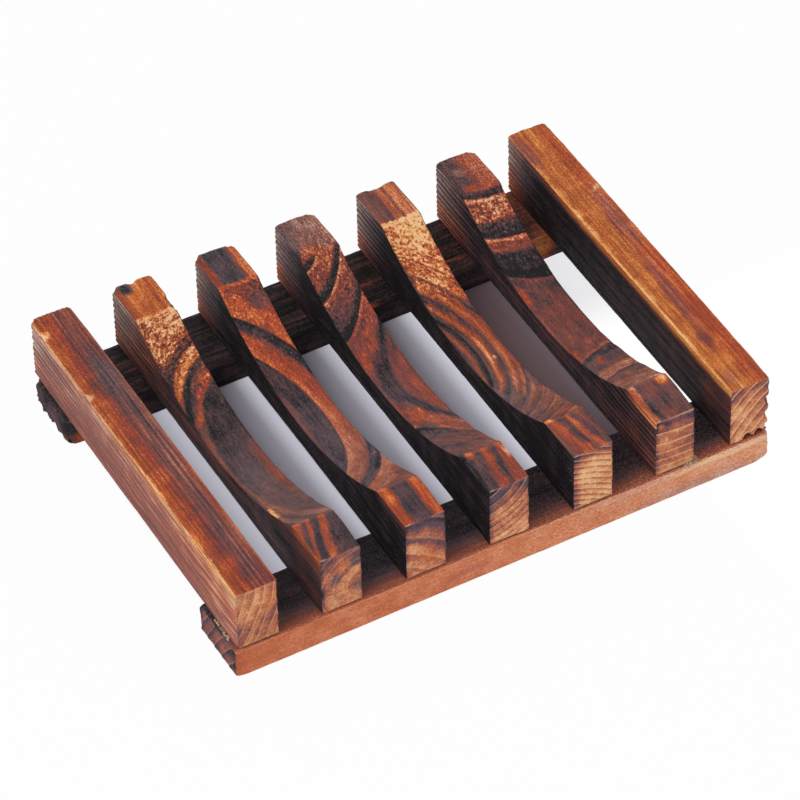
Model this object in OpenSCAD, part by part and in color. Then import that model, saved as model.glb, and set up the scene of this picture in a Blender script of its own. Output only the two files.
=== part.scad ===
// Slatted wooden soap dish.
// Seven charred wooden slats stand on two flat rails. The five inner slats are
// scooped out in one round sweep to hold the bar, the two outer ones stay
// straight and keep it in, and water drains through the gaps. One brad at each
// crossing is driven up through the rail into the slat.
// Frame: X along the rails, Y along the slats, Z up, origin on the table under
// the middle of the dish.

/* [Rails] */
// Length of each rail, end to end
rail_l = 120; // [100:1:160]
// Width of each rail, front to back
rail_w = 15.4; // [11:0.1:20]
// Height of each rail
rail_h = 7.1; // [5:0.1:9]
// Radius of the worn long edges of a rail
rail_edge_r = 0.5; // [0.3:0.1:1.5]
// Radius of the rounded corners at a rail's ends, seen from the front
rail_corner_r = 1.6; // [0.5:0.1:2.4]
// Radius of the upright corners of a rail, seen from above
rail_upright_r = 1.0; // [0.3:0.1:2]
// Depth of the dish, from the front rail's face to the slats' rear ends
dish_d = 89; // [76:1:110]

/* [Slats] */
// Width of one slat
slat_w = 9.2; // [7:0.1:11]
// Height of one slat, above the rails
slat_h = 14.7; // [12:0.1:20]
// Distance from a rail's left end to the first slat
left_overhang = 0.9; // [0.5:0.1:4]
// Distance from the last slat to a rail's right end
right_overhang = 0.2; // [0.2:0.1:4]
// Setback of the slats' front ends behind the front rail's face
front_setback = 0.5; // [0:0.1:2]
// Setback of the rear rail's back face in front of the slats' rear ends
rear_setback = 1.0; // [0:0.1:2]
// Radius of the worn long edges of a slat
slat_edge_r = 0.6; // [0.3:0.1:2]
// Radius of a slat's upright corners, seen from above
slat_upright_r = 0.6; // [0.3:0.1:2]
// Radius of a slat's end edges, seen from the side
slat_end_r = 0.7; // [0.3:0.1:2]

/* [Scoop] */
// Length of the flat land left at each end of a scooped slat
land_l = 11.3; // [9:0.1:18]
// Depth of the scoop at the middle of the slat
scoop_depth = 9.4; // [5:0.1:11]

/* [Brads] */
// Length of a brad, head included
brad_l = 12; // [10:0.5:15]
// Diameter of a brad's shank
brad_shank_d = 1.2; // [0.8:0.1:1.8]
// Diameter of a brad's head
brad_head_d = 2.2; // [1.9:0.1:3.2]
// Thickness of a brad's head
brad_head_t = 0.6; // [0.3:0.1:0.9]
// Length of a brad's point
brad_point_l = 1.4; // [0.8:0.1:2.5]
// Depth of a brad's head below the rail's underside
brad_sink = 0.4; // [0.2:0.1:1]

/* [Hidden] */
$fn = 48;

// How far each slat was nailed on to the right of its even place, as a share of
// the gap between two slats.
slat_shift_shares = [0, -0.01, 0.015, 0.035, 0.095, 0.13, 0];
slat_count = len(slat_shift_shares);
last_slat = slat_count - 1;

// Slats run from the front setback to the back of the dish.
slat_l = dish_d - front_setback;
slat_y = -dish_d / 2 + front_setback;
dish_h = rail_h + slat_h;

// Even spacing between the two outer slats.
first_slat_x = -rail_l / 2 + left_overhang;
slat_pitch = (rail_l - left_overhang - right_overhang - slat_w) / last_slat;
slat_gap = slat_pitch - slat_w;

// The front rail lies flush with the front of the dish, and the slats reach past
// the rear rail by its setback.
rail_x = -rail_l / 2;
front_rail_y = -dish_d / 2;
rear_rail_y = dish_d / 2 - rear_setback - rail_w;

// The scoop is one round sweep, set by its chord between the lands and its depth.
scoop_chord = slat_l - 2 * land_l;
scoop_r = (pow(scoop_chord / 2, 2) + pow(scoop_depth, 2)) / (2 * scoop_depth);

// A cut runs this far past the face that it leaves.
overrun = 1;

// Facets of the scoop's wide round sweep, when it is drawn as a mesh.
scoop_facets = 180;

function slat_x(i) = first_slat_x + i * slat_pitch + slat_shift_shares[i] * slat_gap;
function slat_mid_x(i) = slat_x(i) + slat_w / 2;
function rail_mid_y(rail_y) = rail_y + rail_w / 2;

// A rectangle with round corners, its lower left corner at the origin.
module rounded_rect(size, r) {
    translate([r, 0]) square([size.x - 2 * r, size.y]);
    translate([0, r]) square([size.x, size.y - 2 * r]);
    for (x = [r, size.x - r], y = [r, size.y - r])
        translate([x, y]) circle(r);
}

// Turns an outline drawn in the X-Z plane into a prism of that depth along +Y.
module along_y(depth) {
    translate([0, depth, 0]) rotate([90, 0, 0]) linear_extrude(depth) children();
}

// Turns an outline drawn in the Y-Z plane into a prism of that width along +X.
module along_x(width) {
    rotate([90, 0, 90]) linear_extrude(width) children();
}

// A sawn and sanded stick: what its three rounded outlines have in common.
module stick(size, front_r, side_r, top_r) {
    intersection() {
        along_y(size.y) rounded_rect([size.x, size.z], front_r);
        along_x(size.x) rounded_rect([size.y, size.z], side_r);
        linear_extrude(size.z) rounded_rect([size.x, size.y], top_r);
    }
}

// One brad, its head's underside at the origin and its point up.
module brad() {
    shank_l = brad_l - brad_head_t - brad_point_l;
    cylinder(h = brad_head_t, d = brad_head_d);
    translate([0, 0, brad_head_t]) cylinder(h = shank_l, d = brad_shank_d);
    translate([0, 0, brad_head_t + shank_l])
        cylinder(h = brad_point_l, d1 = brad_shank_d, d2 = 0);
}

// The hole that a brad makes, open below its head.
module brad_hole() {
    translate([0, 0, brad_sink]) brad();
    translate([0, 0, -overrun]) cylinder(h = brad_sink + overrun, d = brad_head_d);
}

module rail(rail_y) {
    color("sienna")
    difference() {
        translate([rail_x, rail_y, 0])
            stick([rail_l, rail_w, rail_h], rail_corner_r, rail_edge_r, rail_upright_r);
        for (i = [0:last_slat])
            translate([slat_mid_x(i), rail_mid_y(rail_y), 0]) brad_hole();
    }
}

// A slat before the scoop, standing on the rails, with its brad holes.
module plain_slat(i) {
    difference() {
        translate([slat_x(i), slat_y, rail_h])
            stick([slat_w, slat_l, slat_h], slat_edge_r, slat_end_r, slat_upright_r);
        for (rail_y = [front_rail_y, rear_rail_y])
            translate([slat_mid_x(i), rail_mid_y(rail_y), 0]) brad_hole();
    }
}

module outer_slat(i) {
    color("chocolate") plain_slat(i);
}

module scooped_slat(i) {
    color("saddlebrown")
    difference() {
        plain_slat(i);
        translate([slat_x(i) - overrun, slat_y + slat_l / 2, dish_h - scoop_depth + scoop_r])
            rotate([0, 90, 0])
                cylinder(h = slat_w + 2 * overrun, r = scoop_r, $fn = scoop_facets);
    }
}

module rail_brads(rail_y) {
    color("silver")
    for (i = [0:last_slat])
        translate([slat_mid_x(i), rail_mid_y(rail_y), brad_sink]) brad();
}

rail(front_rail_y);  // front_rail
rail(rear_rail_y);  // rear_rail
outer_slat(0);  // left_outer_slat
scooped_slat(1);  // scooped_slat_1
scooped_slat(2);  // scooped_slat_2
scooped_slat(3);  // scooped_slat_3
scooped_slat(4);  // scooped_slat_4
scooped_slat(5);  // scooped_slat_5
outer_slat(last_slat);  // right_outer_slat
rail_brads(front_rail_y);  // front_rail_brads
rail_brads(rear_rail_y);  // rear_rail_brads
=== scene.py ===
# %% [markdown]
# # A slatted soap dish of charred wood
# Seven sticks stand on two flat rails. Five of them are scooped out to hold the bar, and the
# two outer ones keep it in. The wood was scorched, brushed and sealed, so hard dark rings
# stand proud of soft orange ones, and the sides in the gaps stay black. This lesson dresses
# the measured model: the sticks are grown by one tree of Geometry Nodes, and one recipe of
# shader nodes scorches them all, with other numbers for each stick.

# %% Load the measured frame
import math

import bpy
from mathutils import Matrix, Vector


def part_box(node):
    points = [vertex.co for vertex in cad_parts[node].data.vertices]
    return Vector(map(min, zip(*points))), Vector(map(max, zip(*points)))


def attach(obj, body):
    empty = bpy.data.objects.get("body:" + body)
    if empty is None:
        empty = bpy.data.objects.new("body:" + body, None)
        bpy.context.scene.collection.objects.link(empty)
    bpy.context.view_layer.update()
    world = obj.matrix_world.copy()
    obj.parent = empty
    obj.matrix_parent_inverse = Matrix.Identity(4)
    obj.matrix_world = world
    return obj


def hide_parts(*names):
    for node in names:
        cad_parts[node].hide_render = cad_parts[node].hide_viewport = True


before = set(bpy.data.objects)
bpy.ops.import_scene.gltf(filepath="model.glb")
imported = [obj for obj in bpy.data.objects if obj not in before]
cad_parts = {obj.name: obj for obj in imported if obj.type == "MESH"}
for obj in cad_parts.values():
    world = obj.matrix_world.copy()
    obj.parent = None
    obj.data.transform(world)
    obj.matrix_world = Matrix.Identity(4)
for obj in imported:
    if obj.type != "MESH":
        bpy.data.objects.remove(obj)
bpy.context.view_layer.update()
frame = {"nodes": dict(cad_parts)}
MM = 0.001
ORIGIN = (0.0, 0.0, 0.0)
print("measured nodes:", ", ".join(frame["nodes"]))

# %% [markdown]
# ## The camera
# The photograph was taken from the front left with a long lens, far enough away that the
# sticks hardly converge. A camera could be placed by hand, but three angles, a distance and
# a point to look at say the same thing in a way that can be checked against the corners.

# %% Place the camera
AZIMUTH = -27.79
ELEVATION = 44.17
ROLL = -1.73
DISTANCE = 1.0568
LOOK_AT = Vector((-0.63, -2.40, 10.09)) * MM
LENS = 239.15


def camera_turn(azimuth, elevation, roll):
    """The camera's right, up and back directions for three angles in degrees."""
    a, e, r = (math.radians(angle) for angle in (azimuth, elevation, roll))
    back = Vector((math.sin(a) * math.cos(e), -math.cos(a) * math.cos(e), math.sin(e)))
    level = Vector((0, 0, 1)).cross(back).normalized()
    upright = back.cross(level)
    right = level * math.cos(r) + upright * math.sin(r)
    up = upright * math.cos(r) - level * math.sin(r)
    return right, up, back


right, up, back = camera_turn(AZIMUTH, ELEVATION, ROLL)
camera = bpy.data.objects.new("camera", bpy.data.cameras.new("camera"))
bpy.context.collection.objects.link(camera)
camera.data.lens = LENS
camera.data.sensor_width = 36
camera.data.clip_start = 0.05
camera.data.clip_end = 20
camera_axes = Matrix((right, up, back)).transposed().to_4x4()
camera.matrix_world = Matrix.Translation(LOOK_AT + back * DISTANCE) @ camera_axes
bpy.context.scene.camera = camera
print("camera at mm:", [round(c / MM, 1) for c in camera.matrix_world.translation])

# %% [markdown]
# ## Sums with sockets
# Every pattern below is a sum over the surface. Wiring such sums by hand takes dozens of
# lines, so one small class wraps a socket and lets Python's own signs add the Math nodes.
# The same class serves shader trees and geometry trees, because both know these nodes.

# %% A socket that can be used in sums


class Field:
    """A socket of a node tree. Each sum on it adds a Math node."""

    def __init__(self, tree, socket):
        self.tree = tree
        self.socket = socket

    def math(self, operation, *others):
        return self.tree.math(operation, self, *others)

    def __add__(self, other):
        return self.math("ADD", other)

    def __radd__(self, other):
        return self.tree.math("ADD", other, self)

    def __sub__(self, other):
        return self.math("SUBTRACT", other)

    def __rsub__(self, other):
        return self.tree.math("SUBTRACT", other, self)

    def __mul__(self, other):
        return self.math("MULTIPLY", other)

    def __rmul__(self, other):
        return self.tree.math("MULTIPLY", other, self)

    def __truediv__(self, other):
        return self.math("DIVIDE", other)

    def __rtruediv__(self, other):
        return self.tree.math("DIVIDE", other, self)

    def __neg__(self):
        return self.math("MULTIPLY", -1.0)

    def part(self, key):
        """Another output of the same node."""
        return Field(self.tree, find(self.socket.node.outputs, key))


def find(sockets, key):
    """A socket by its place, its identifier or its name."""
    if isinstance(key, int):
        return sockets[key]
    for socket in sockets:
        if socket.identifier == key:
            return socket
    return sockets[key]


print("signs with a reflected form:", ", ".join(name for name in vars(Field) if name.startswith("__r")))

# %% [markdown]
# ## One method for any node
# A tree needs few words of its own. One method makes a node of any type, sets what the node
# is set to, and fills or links its sockets. The short names below it only save typing. The
# last one is a profile: a line of given heights along a value, kept in a ramp.

# %% A tree that makes any node


class Tree:
    """A node tree with one method for any node, and short names for the common ones."""

    def __init__(self, node_tree):
        self.node_tree = node_tree

    def node(self, kind, settings=None, inputs=None, output=0):
        made = self.node_tree.nodes.new(kind)
        for name, value in (settings or {}).items():
            if name == "stops":
                self.set_stops(made.color_ramp, value)
            else:
                setattr(made, name, value)
        for key, value in (inputs or {}).items():
            socket = find(made.inputs, key)
            if isinstance(value, Field):
                self.node_tree.links.new(value.socket, socket)
            else:
                socket.default_value = value
        return Field(self, find(made.outputs, output))

    def set_stops(self, color_ramp, stops):
        while len(color_ramp.elements) < len(stops):
            color_ramp.elements.new(1.0)
        for element, (place, colour) in zip(color_ramp.elements, stops):
            element.position = place
            element.color = colour

    def close(self, kind, key, last):
        """Makes the tree's output node and hands it the last link."""
        made = self.node_tree.nodes.new(kind)
        self.node_tree.links.new(last.socket, made.inputs[key])

    def math(self, operation, *values):
        return self.node("ShaderNodeMath", {"operation": operation}, dict(enumerate(values)))

    def vector(self, operation, *values, output=0):
        inputs = dict(enumerate(values))
        return self.node("ShaderNodeVectorMath", {"operation": operation}, inputs, output)

    def stretch(self, vector, amounts):
        return self.vector("MULTIPLY", vector, amounts)

    def scale(self, vector, amount):
        inputs = {"Vector": vector, "Scale": amount}
        return self.node("ShaderNodeVectorMath", {"operation": "SCALE"}, inputs)

    def join(self, x, y, z):
        return self.node("ShaderNodeCombineXYZ", inputs={0: x, 1: y, 2: z})

    def split(self, vector):
        made = self.node("ShaderNodeSeparateXYZ", inputs={0: vector})
        return made, made.part(1), made.part(2)

    def smooth(self, value, low, high):
        """From 0 at low to 1 at high, eased at both ends. Low may be the larger one."""
        settings = {"interpolation_type": "SMOOTHSTEP"}
        inputs = {"Value": value, "From Min": low, "From Max": high}
        return self.node("ShaderNodeMapRange", settings, inputs)

    def mix(self, factor, first, second, kind="Float"):
        settings = {"data_type": {"Float": "FLOAT", "Vector": "VECTOR", "Color": "RGBA"}[kind]}
        inputs = {"Factor_Float": factor, f"A_{kind}": first, f"B_{kind}": second}
        return self.node("ShaderNodeMix", settings, inputs, f"Result_{kind}")

    def tint(self, cover, colour, other):
        """Puts another colour over a colour, where it is covered."""
        return self.mix(cover, colour, other, "Color")

    def pull(self, cover, numbers, target):
        """Pulls three numbers towards a target, where they are covered."""
        return self.mix(cover, numbers, target, "Vector")

    def noise(self, where, scale, detail=2.0, roughness=0.5):
        inputs = {"Vector": where, "Scale": scale, "Detail": detail, "Roughness": roughness}
        return self.node("ShaderNodeTexNoise", inputs=inputs)

    def ramp(self, value, stops):
        return self.node("ShaderNodeValToRGB", {"stops": stops}, {0: value})

    def profile(self, value, stops):
        """A height that follows given stops of (place, height) along a value."""
        first, last = stops[0][0], stops[-1][0]
        low = min(height for _, height in stops)
        high = max(height for _, height in stops)
        span = max(high - low, 1e-6)
        greys = [((place - first) / (last - first), (height - low) / span) for place, height in stops]
        share = (value - first) / (last - first)
        return self.ramp(share, [(p, (g, g, g, 1.0)) for p, g in greys]) * span + low


print("helpers ready")

# %% [markdown]
# ## Growth rings
# The grain of a stick is a cut through rings that once ran round the pith of a tree. A flat
# picture of grain would not line up from the top to the sides and the ends. So the rings
# are worked out in space: the distance from a pith line, which leans and sags a little
# along the stick, divided by the ring width. Where the scoop cuts through the layers, the
# long arches of the real dish appear by themselves.

# %% Count the rings at a point
WAVER_STRETCH = (0.16, 0.035, 0.16)


def growth_rings(tree, where, wood, middle):
    """Rings counted from the stick's middle, the way round them and the way out, in mm."""
    x, y, z = tree.split(where)
    across = x - wood["Pith Across"]
    above = z - wood["Pith Up"] - wood["Lean"] * y - wood["Sag"] * y * y
    reach = (across * across + above * above).math("SQRT")
    start_across = middle[0] - wood["Pith Across"]
    start_above = middle[1] - wood["Pith Up"]
    start = (start_across * start_across + start_above * start_above).math("SQRT")
    out = reach - start
    waver = tree.noise(tree.stretch(where, WAVER_STRETCH), 1.0) - 0.5
    out = out + waver * wood["Waver"]
    near = out.math("MINIMUM", wood["Steady"])
    closer = (near * wood["Growth"]).math("EXPONENT")
    beyond = (out - wood["Steady"]).math("MAXIMUM", 0.0)
    counted = (closer - 1) / (wood["Growth"] * wood["Ring Width"])
    ring = wood["Phase"] + counted + beyond * closer / wood["Ring Width"]
    turn = above.math("ARCTAN2", across)
    return ring, turn * start, out


# %% [markdown]
# ## One tree for every stick
# A stick could be a cube with a bevel, but the scoop, the worn edges and the brushed rings
# all follow rules. The tree starts from a finely divided block, lowers its top by the round
# sweep of the scoop, rounds it by pulling each point towards an inner block, and writes
# down where the point sits in the wood. Then it carves the soft wood inwards, so that the
# stick keeps its measured size to within a tenth of a millimetre. Loose points handed to
# the tree say where a chip broke off, or where a brad was driven in.

# %% The stick's named sizes, in mm
NUMBER = "NodeSocketFloat"
COUNT = "NodeSocketInt"
POINT = "NodeSocketVector"
FINISH = "NodeSocketMaterial"
SIZES = [
    ("Width", NUMBER, 9.2), ("Height", NUMBER, 14.7),
    ("Front", NUMBER, -44.0), ("Back", NUMBER, 44.5),
    ("Scoop Depth", NUMBER, -5.0), ("Scoop Radius", NUMBER, 62.0), ("Scoop Middle", NUMBER, 0.25),
    ("Edge Radius", NUMBER, 0.45), ("Foot Radius", NUMBER, 0.35),
    ("Front Round", NUMBER, 0.1), ("Back Round", NUMBER, 0.5), ("Edge Wear", NUMBER, 0.6),
    ("End Drop", NUMBER, 0.0),
]
GROWTH = [
    ("Pith Across", NUMBER, 0.0), ("Pith Up", NUMBER, 0.0), ("Ring Width", NUMBER, 2.0),
    ("Growth", NUMBER, 0.001), ("Phase", NUMBER, 0.0), ("Lean", NUMBER, 0.0),
    ("Sag", NUMBER, 0.0), ("Steady", NUMBER, 90.0), ("Waver", NUMBER, 0.5),
]
RELIEF = [
    ("Side Relief", NUMBER, 0.06), ("Top Relief", NUMBER, 0.1), ("End Relief", NUMBER, 0.12),
    ("Saw Marks", NUMBER, 0.04), ("Tip Marks", NUMBER, 0.2), ("Saw Pitch", NUMBER, 1.3),
    ("Torn Relief", NUMBER, 0.0), ("Torn From", NUMBER, 12.0), ("Torn To", NUMBER, 34.0),
    ("Chip Depth", NUMBER, 0.9), ("Chip Size", NUMBER, 1.6), ("Brad Dimple", NUMBER, 0.0),
]
MESHING = [
    ("Points Across", COUNT, 40), ("Points Along", COUNT, 280), ("Points Up", COUNT, 58),
    ("Corner", POINT, ORIGIN), ("Turn", NUMBER, 0.0), ("Finish", FINISH, None),
]


def new_geometry_tree(name, inputs):
    group = bpy.data.node_groups.new(name, "GeometryNodeTree")
    interface = group.interface
    interface.new_socket(name="Mesh", in_out="INPUT", socket_type="NodeSocketGeometry")
    interface.new_socket(name="Mesh", in_out="OUTPUT", socket_type="NodeSocketGeometry")
    for label, kind, value in inputs:
        socket = interface.new_socket(name=label, in_out="INPUT", socket_type=kind)
        if value is not None:
            socket.default_value = value
    tree = Tree(group)
    first = tree.node("NodeGroupInput")
    given = {socket.name: Field(tree, socket) for socket in first.socket.node.outputs if socket.name}
    return tree, given


print("sizes named:", len(SIZES + GROWTH + RELIEF + MESHING))

# %% The stick's rounded shape
# The tips are shares of the length. There the edges may be rounder than in between.
FRONT_TIP = 0.03
BACK_TIP = 0.96
FRONT_DROP = 0.3
HALF_CUBE = (0.5, 0.5, 0.5)
EASE_ACROSS, EASE_ALONG, EASE_UP = 0.5, 0.12, 0.45


def eased(share, amount):
    """Moves evenly spaced shares towards both ends, where the edges need more points."""
    return share - (share * (2 * math.pi)).math("SINE") * (amount / (2 * math.pi))


def rounded_block(tree, given):
    """The stick's rounded shape in mm: x across, y along, z up."""
    size = {"Size": (1.0, 1.0, 1.0), "Vertices X": given["Points Across"]}
    size.update({"Vertices Y": given["Points Along"], "Vertices Z": given["Points Up"]})
    cube = tree.node("GeometryNodeMeshCube", inputs=size)
    corner = tree.node("GeometryNodeInputPosition")
    u, v, w = tree.split(tree.vector("ADD", corner, HALF_CUBE))
    x = eased(u, EASE_ACROSS) * given["Width"]
    y = given["Front"] + eased(v, EASE_ALONG) * (given["Back"] - given["Front"])
    off = y - given["Scoop Middle"]
    radius = given["Scoop Radius"]
    sweep = (radius * radius - off * off).math("MAXIMUM", 0.0).math("SQRT")
    dip = (given["Scoop Depth"] - radius + sweep).math("SMOOTH_MAX", 0.0, 0.2)
    top = given["Height"] - dip
    z = eased(w, EASE_UP) * top
    block = tree.join(x, y, z)
    wear = tree.noise(block, 0.35, 3.0, 0.6) - 0.5
    at_front, at_back = tree.smooth(v, FRONT_TIP, 0.0), tree.smooth(v, BACK_TIP, 1.0)
    ends = at_front * given["Front Round"] + at_back * given["Back Round"]
    bend = tree.mix(tree.smooth(w, 0.25, 0.7), given["Foot Radius"], given["Edge Radius"])
    bend = bend * (1 + wear * given["Edge Wear"] * 2)
    plan = bend + ends * (1 + wear * 1.5)
    bend = bend + (at_front * FRONT_DROP + at_back) * given["End Drop"]
    low = tree.join(plan, given["Front"] + plan, bend)
    high = tree.join(given["Width"] - plan, given["Back"] - plan, top - bend)
    bends = tree.join(plan, plan, bend)
    inner = tree.vector("MINIMUM", tree.vector("MAXIMUM", block, low), high)
    away = tree.vector("DIVIDE", tree.vector("SUBTRACT", block, inner), bends)
    rounded = tree.vector("NORMALIZE", away)
    rounded = tree.vector("ADD", inner, tree.vector("MULTIPLY", rounded, bends))
    return tree.node("GeometryNodeSetPosition", inputs={"Geometry": cube, "Position": rounded})


# %% The brushed wood
# A stretch says how many times a noise changes in a mm across, along and up.
DRIFT_STRETCH = (0.1, 0.02, 0.1)
ROUGH_STRETCH = (1.3, 0.8, 1.3)
FIBRE_STRETCH = (1.1, 0.15, 1.1)
FIBRE_DEPTH = 0.06


def saw_marks(tree, given, grain):
    """Level marks of the saw on the sides, from 0 in the hollow to 1 on the ridge."""
    drift = tree.noise(tree.stretch(grain, DRIFT_STRETCH), 1.0) * 3
    z = tree.split(grain)[2]
    wave = ((z / given["Saw Pitch"] + drift) * (2 * math.pi)).math("SINE")
    return wave * 0.5 + 0.5


def brushed_depth(tree, given, grain, facing, ring, saw):
    """How deep each point is carved, in mm: most in the soft part of each ring."""
    fx, fy, fz = tree.split(facing)
    y = tree.split(grain)[1]
    side = fx.math("ABSOLUTE")
    top = fz.math("MAXIMUM", 0.0)
    end = tree.smooth(fy.math("ABSOLUTE"), 0.6, 0.9)
    share = ring.math("FRACT")
    ridge = tree.smooth(share, 0.3, 0.85) * tree.smooth(share, 1.0, 0.92)
    front = tree.smooth(y, given["Front"] + 7, given["Front"] + 0.5)
    side_relief = given["Side Relief"] + front * given["End Relief"] * 1.5
    relief = side * side_relief + top * given["Top Relief"]
    relief = relief * (1 - end) + end * given["End Relief"]
    depth = relief * (1 - ridge)
    tip = tree.smooth(y, given["Back"] - 10, given["Back"] - 1)
    marks = given["Saw Marks"] + tip * (given["Tip Marks"] - given["Saw Marks"])
    depth = depth + (1 - saw) * side * (1 - end) * marks
    rear_end = tree.smooth(fy, 0.6, 0.9)
    depth = depth + (1 - saw) * rear_end * given["Tip Marks"]
    torn = tree.smooth(y, given["Torn From"], given["Torn From"] + 5)
    torn = torn * tree.smooth(y, given["Torn To"], given["Torn To"] - 1.5) * top
    rough = tree.noise(tree.stretch(grain, ROUGH_STRETCH), 1.0, 3.0, 0.65)
    depth = depth + torn * rough * given["Torn Relief"]
    fibre = tree.noise(tree.stretch(grain, FIBRE_STRETCH), 1.0, 3.0, 0.6)
    return depth + fibre * FIBRE_DEPTH


# %% The chips and the brad hollows
# A brad's loose point lies below the rail, so that it chips nothing. The hollow round it
# is flat up to the floor's radius and ends at the edge's.
BRAD_LEVEL = -3.0
DIMPLE_EDGE = 1.75
DIMPLE_FLOOR = 1.2


def nearness(tree, given, where):
    """The distance in mm from each point to the nearest loose point handed in."""
    near = tree.node(
        "GeometryNodeProximity", {"target_element": "POINTS"}, {"Source Position": where}, "Distance"
    )
    points = find(near.socket.node.inputs, 0)
    tree.node_tree.links.new(given["Mesh"].socket, points)
    return near


def hollows(tree, given, grain, facing):
    """The chips that broke off, and a shallow hollow below the rail round each brad."""
    x, y, _ = tree.split(grain)
    rough = tree.noise(grain, 0.9, 2.0) - 0.5
    chip = nearness(tree, given, grain) + rough * 1.2
    carved = tree.smooth(chip, given["Chip Size"], given["Chip Size"] * 0.2) * given["Chip Depth"]
    brad = nearness(tree, given, tree.join(x, y, BRAD_LEVEL))
    below = tree.smooth(-tree.split(facing)[2], 0.6, 0.9)
    return carved + tree.smooth(brad, DIMPLE_EDGE, DIMPLE_FLOOR) * below * given["Brad Dimple"]


# %% Build the stick tree
VECTOR = {"data_type": "FLOAT_VECTOR"}


def store(tree, mesh, name, value):
    settings = {**VECTOR, "domain": "POINT"}
    inputs = {"Geometry": mesh, "Name": name, "Value": value}
    return tree.node("GeometryNodeStoreNamedAttribute", settings, inputs)


def finished(tree, mesh, given, turn=ORIGIN, corner=ORIGIN):
    """Brings a mesh in mm to its place in metres, and gives it smooth faces and a finish."""
    size = {"Geometry": mesh, "Scale": (MM, MM, MM), "Rotation": turn, "Translation": corner}
    mesh = tree.node("GeometryNodeTransform", inputs=size)
    mesh = tree.node("GeometryNodeSetShadeSmooth", inputs={"Geometry": mesh, "Shade Smooth": True})
    mesh = tree.node("GeometryNodeRealizeInstances", inputs={"Geometry": mesh})
    inputs = {"Geometry": mesh, "Material": given["Finish"]}
    tree.close("NodeGroupOutput", "Mesh", tree.node("GeometryNodeSetMaterial", inputs=inputs))
    return tree


def build_stick_tree():
    tree, given = new_geometry_tree("charred_stick", SIZES + GROWTH + RELIEF + MESHING)
    mesh = rounded_block(tree, given)
    mesh = store(tree, mesh, "grain_mm", tree.node("GeometryNodeInputPosition"))
    mesh = store(tree, mesh, "facing", tree.node("GeometryNodeInputNormal"))
    grain = tree.node("GeometryNodeInputNamedAttribute", VECTOR, {"Name": "grain_mm"})
    facing = tree.node("GeometryNodeInputNamedAttribute", VECTOR, {"Name": "facing"})
    middle = (given["Width"] * 0.5, given["Height"] * 0.5)
    ring, way_round, out = growth_rings(tree, grain, given, middle)
    mesh = store(tree, mesh, "growth", tree.join(ring, way_round, out))
    saw = saw_marks(tree, given, grain)
    hollow = hollows(tree, given, grain, facing)
    mesh = store(tree, mesh, "brushed", tree.join(saw, hollow, 0.0))
    depth = brushed_depth(tree, given, grain, facing, ring, saw) + hollow
    inward = tree.scale(facing, -depth)
    mesh = tree.node("GeometryNodeSetPosition", inputs={"Geometry": mesh, "Offset": inward})
    return finished(tree, mesh, given, tree.join(0.0, 0.0, given["Turn"]), given["Corner"])


stick_tree = build_stick_tree()
print("stick tree:", len(stick_tree.node_tree.nodes), "nodes")

# %% [markdown]
# ## Paint
# Colours are written as they would be read off a paint card, from 0 to 255, and turned into
# the light levels that Blender works with. Scorched wood runs from tan over orange and
# brown to char. One ramp does this in red, one in gold and one in the grey of ash, and the
# ends have a ramp of their own.

# %% Colours of scorched wood


def paint(red, green, blue):
    levels = []
    for value in (red, green, blue):
        share = value / 255
        levels.append(share / 12.92 if share <= 0.04045 else ((share + 0.055) / 1.055) ** 2.4)
    return (*levels, 1.0)


RED_CHAR = [
    (0.0, paint(252, 200, 152)), (0.12, paint(238, 150, 98)), (0.25, paint(208, 102, 50)),
    (0.4, paint(170, 66, 36)), (0.55, paint(136, 56, 42)), (0.7, paint(98, 52, 50)),
    (0.85, paint(62, 46, 52)), (1.0, paint(22, 18, 20)),
]
GOLD_CHAR = [
    (0.0, paint(254, 212, 148)), (0.12, paint(242, 172, 98)), (0.25, paint(214, 128, 60)),
    (0.4, paint(180, 92, 42)), (0.55, paint(142, 72, 42)), (0.7, paint(102, 60, 46)),
    (0.85, paint(66, 48, 44)), (1.0, paint(22, 18, 19)),
]
ASH_CHAR = [
    (0.0, paint(226, 212, 206)), (0.25, paint(176, 144, 130)), (0.5, paint(124, 97, 90)),
    (0.7, paint(96, 80, 86)), (0.85, paint(63, 58, 65)), (1.0, paint(26, 24, 27)),
]
END_GRAIN = [
    (0.0, paint(250, 200, 146)), (0.2, paint(230, 158, 112)), (0.4, paint(198, 116, 84)),
    (0.6, paint(152, 90, 80)), (0.8, paint(106, 78, 88)), (1.0, paint(50, 42, 48)),
]
PALE_LINE = paint(232, 176, 132)
RAW_WOOD = paint(250, 206, 150)
# The white of ash, and of painted highlights and glints.
WHITE_ASH_AND_HIGHLIGHT = paint(214, 196, 188)
SLATE = paint(84, 78, 92)
PALE_GOLD = paint(240, 178, 112)
ORANGE = paint(214, 112, 52)
GLUE_STAIN = paint(204, 172, 108)
print("paints mixed")

# %% [markdown]
# ## A place in the wood
# The stick tree wrote four vectors on every point: where it sits in the stick, which way it
# faces, its growth rings, and how it was carved. The recipe reads them once for a whole
# stick. A few noises, stretched along the grain, stand for the fibres, the finest scratches,
# the specks, the long streaks and the white flecks, which are partly ash and partly painted
# glints.

# %% Read a place in the wood
# Each noise has its stretch, its detail and its roughness.
GRAINS = {
    "fibre": ((1.9, 0.12, 1.9), 4.0, 0.65),
    "fine": ((4.5, 1.2, 4.5), 3.0, 0.7),
    "specks": ((2.6, 2.1, 2.8), 4.0, 0.75),
    "streaks": ((1.9, 0.05, 1.9), 3.0, 0.6),
    "flecks": ((2.6, 1.6, 2.6), 3.0, 0.6),
}


def new_material(name):
    material = bpy.data.materials.new(name)
    material.use_nodes = True
    material.node_tree.nodes.clear()
    return material, Tree(material.node_tree)


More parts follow.
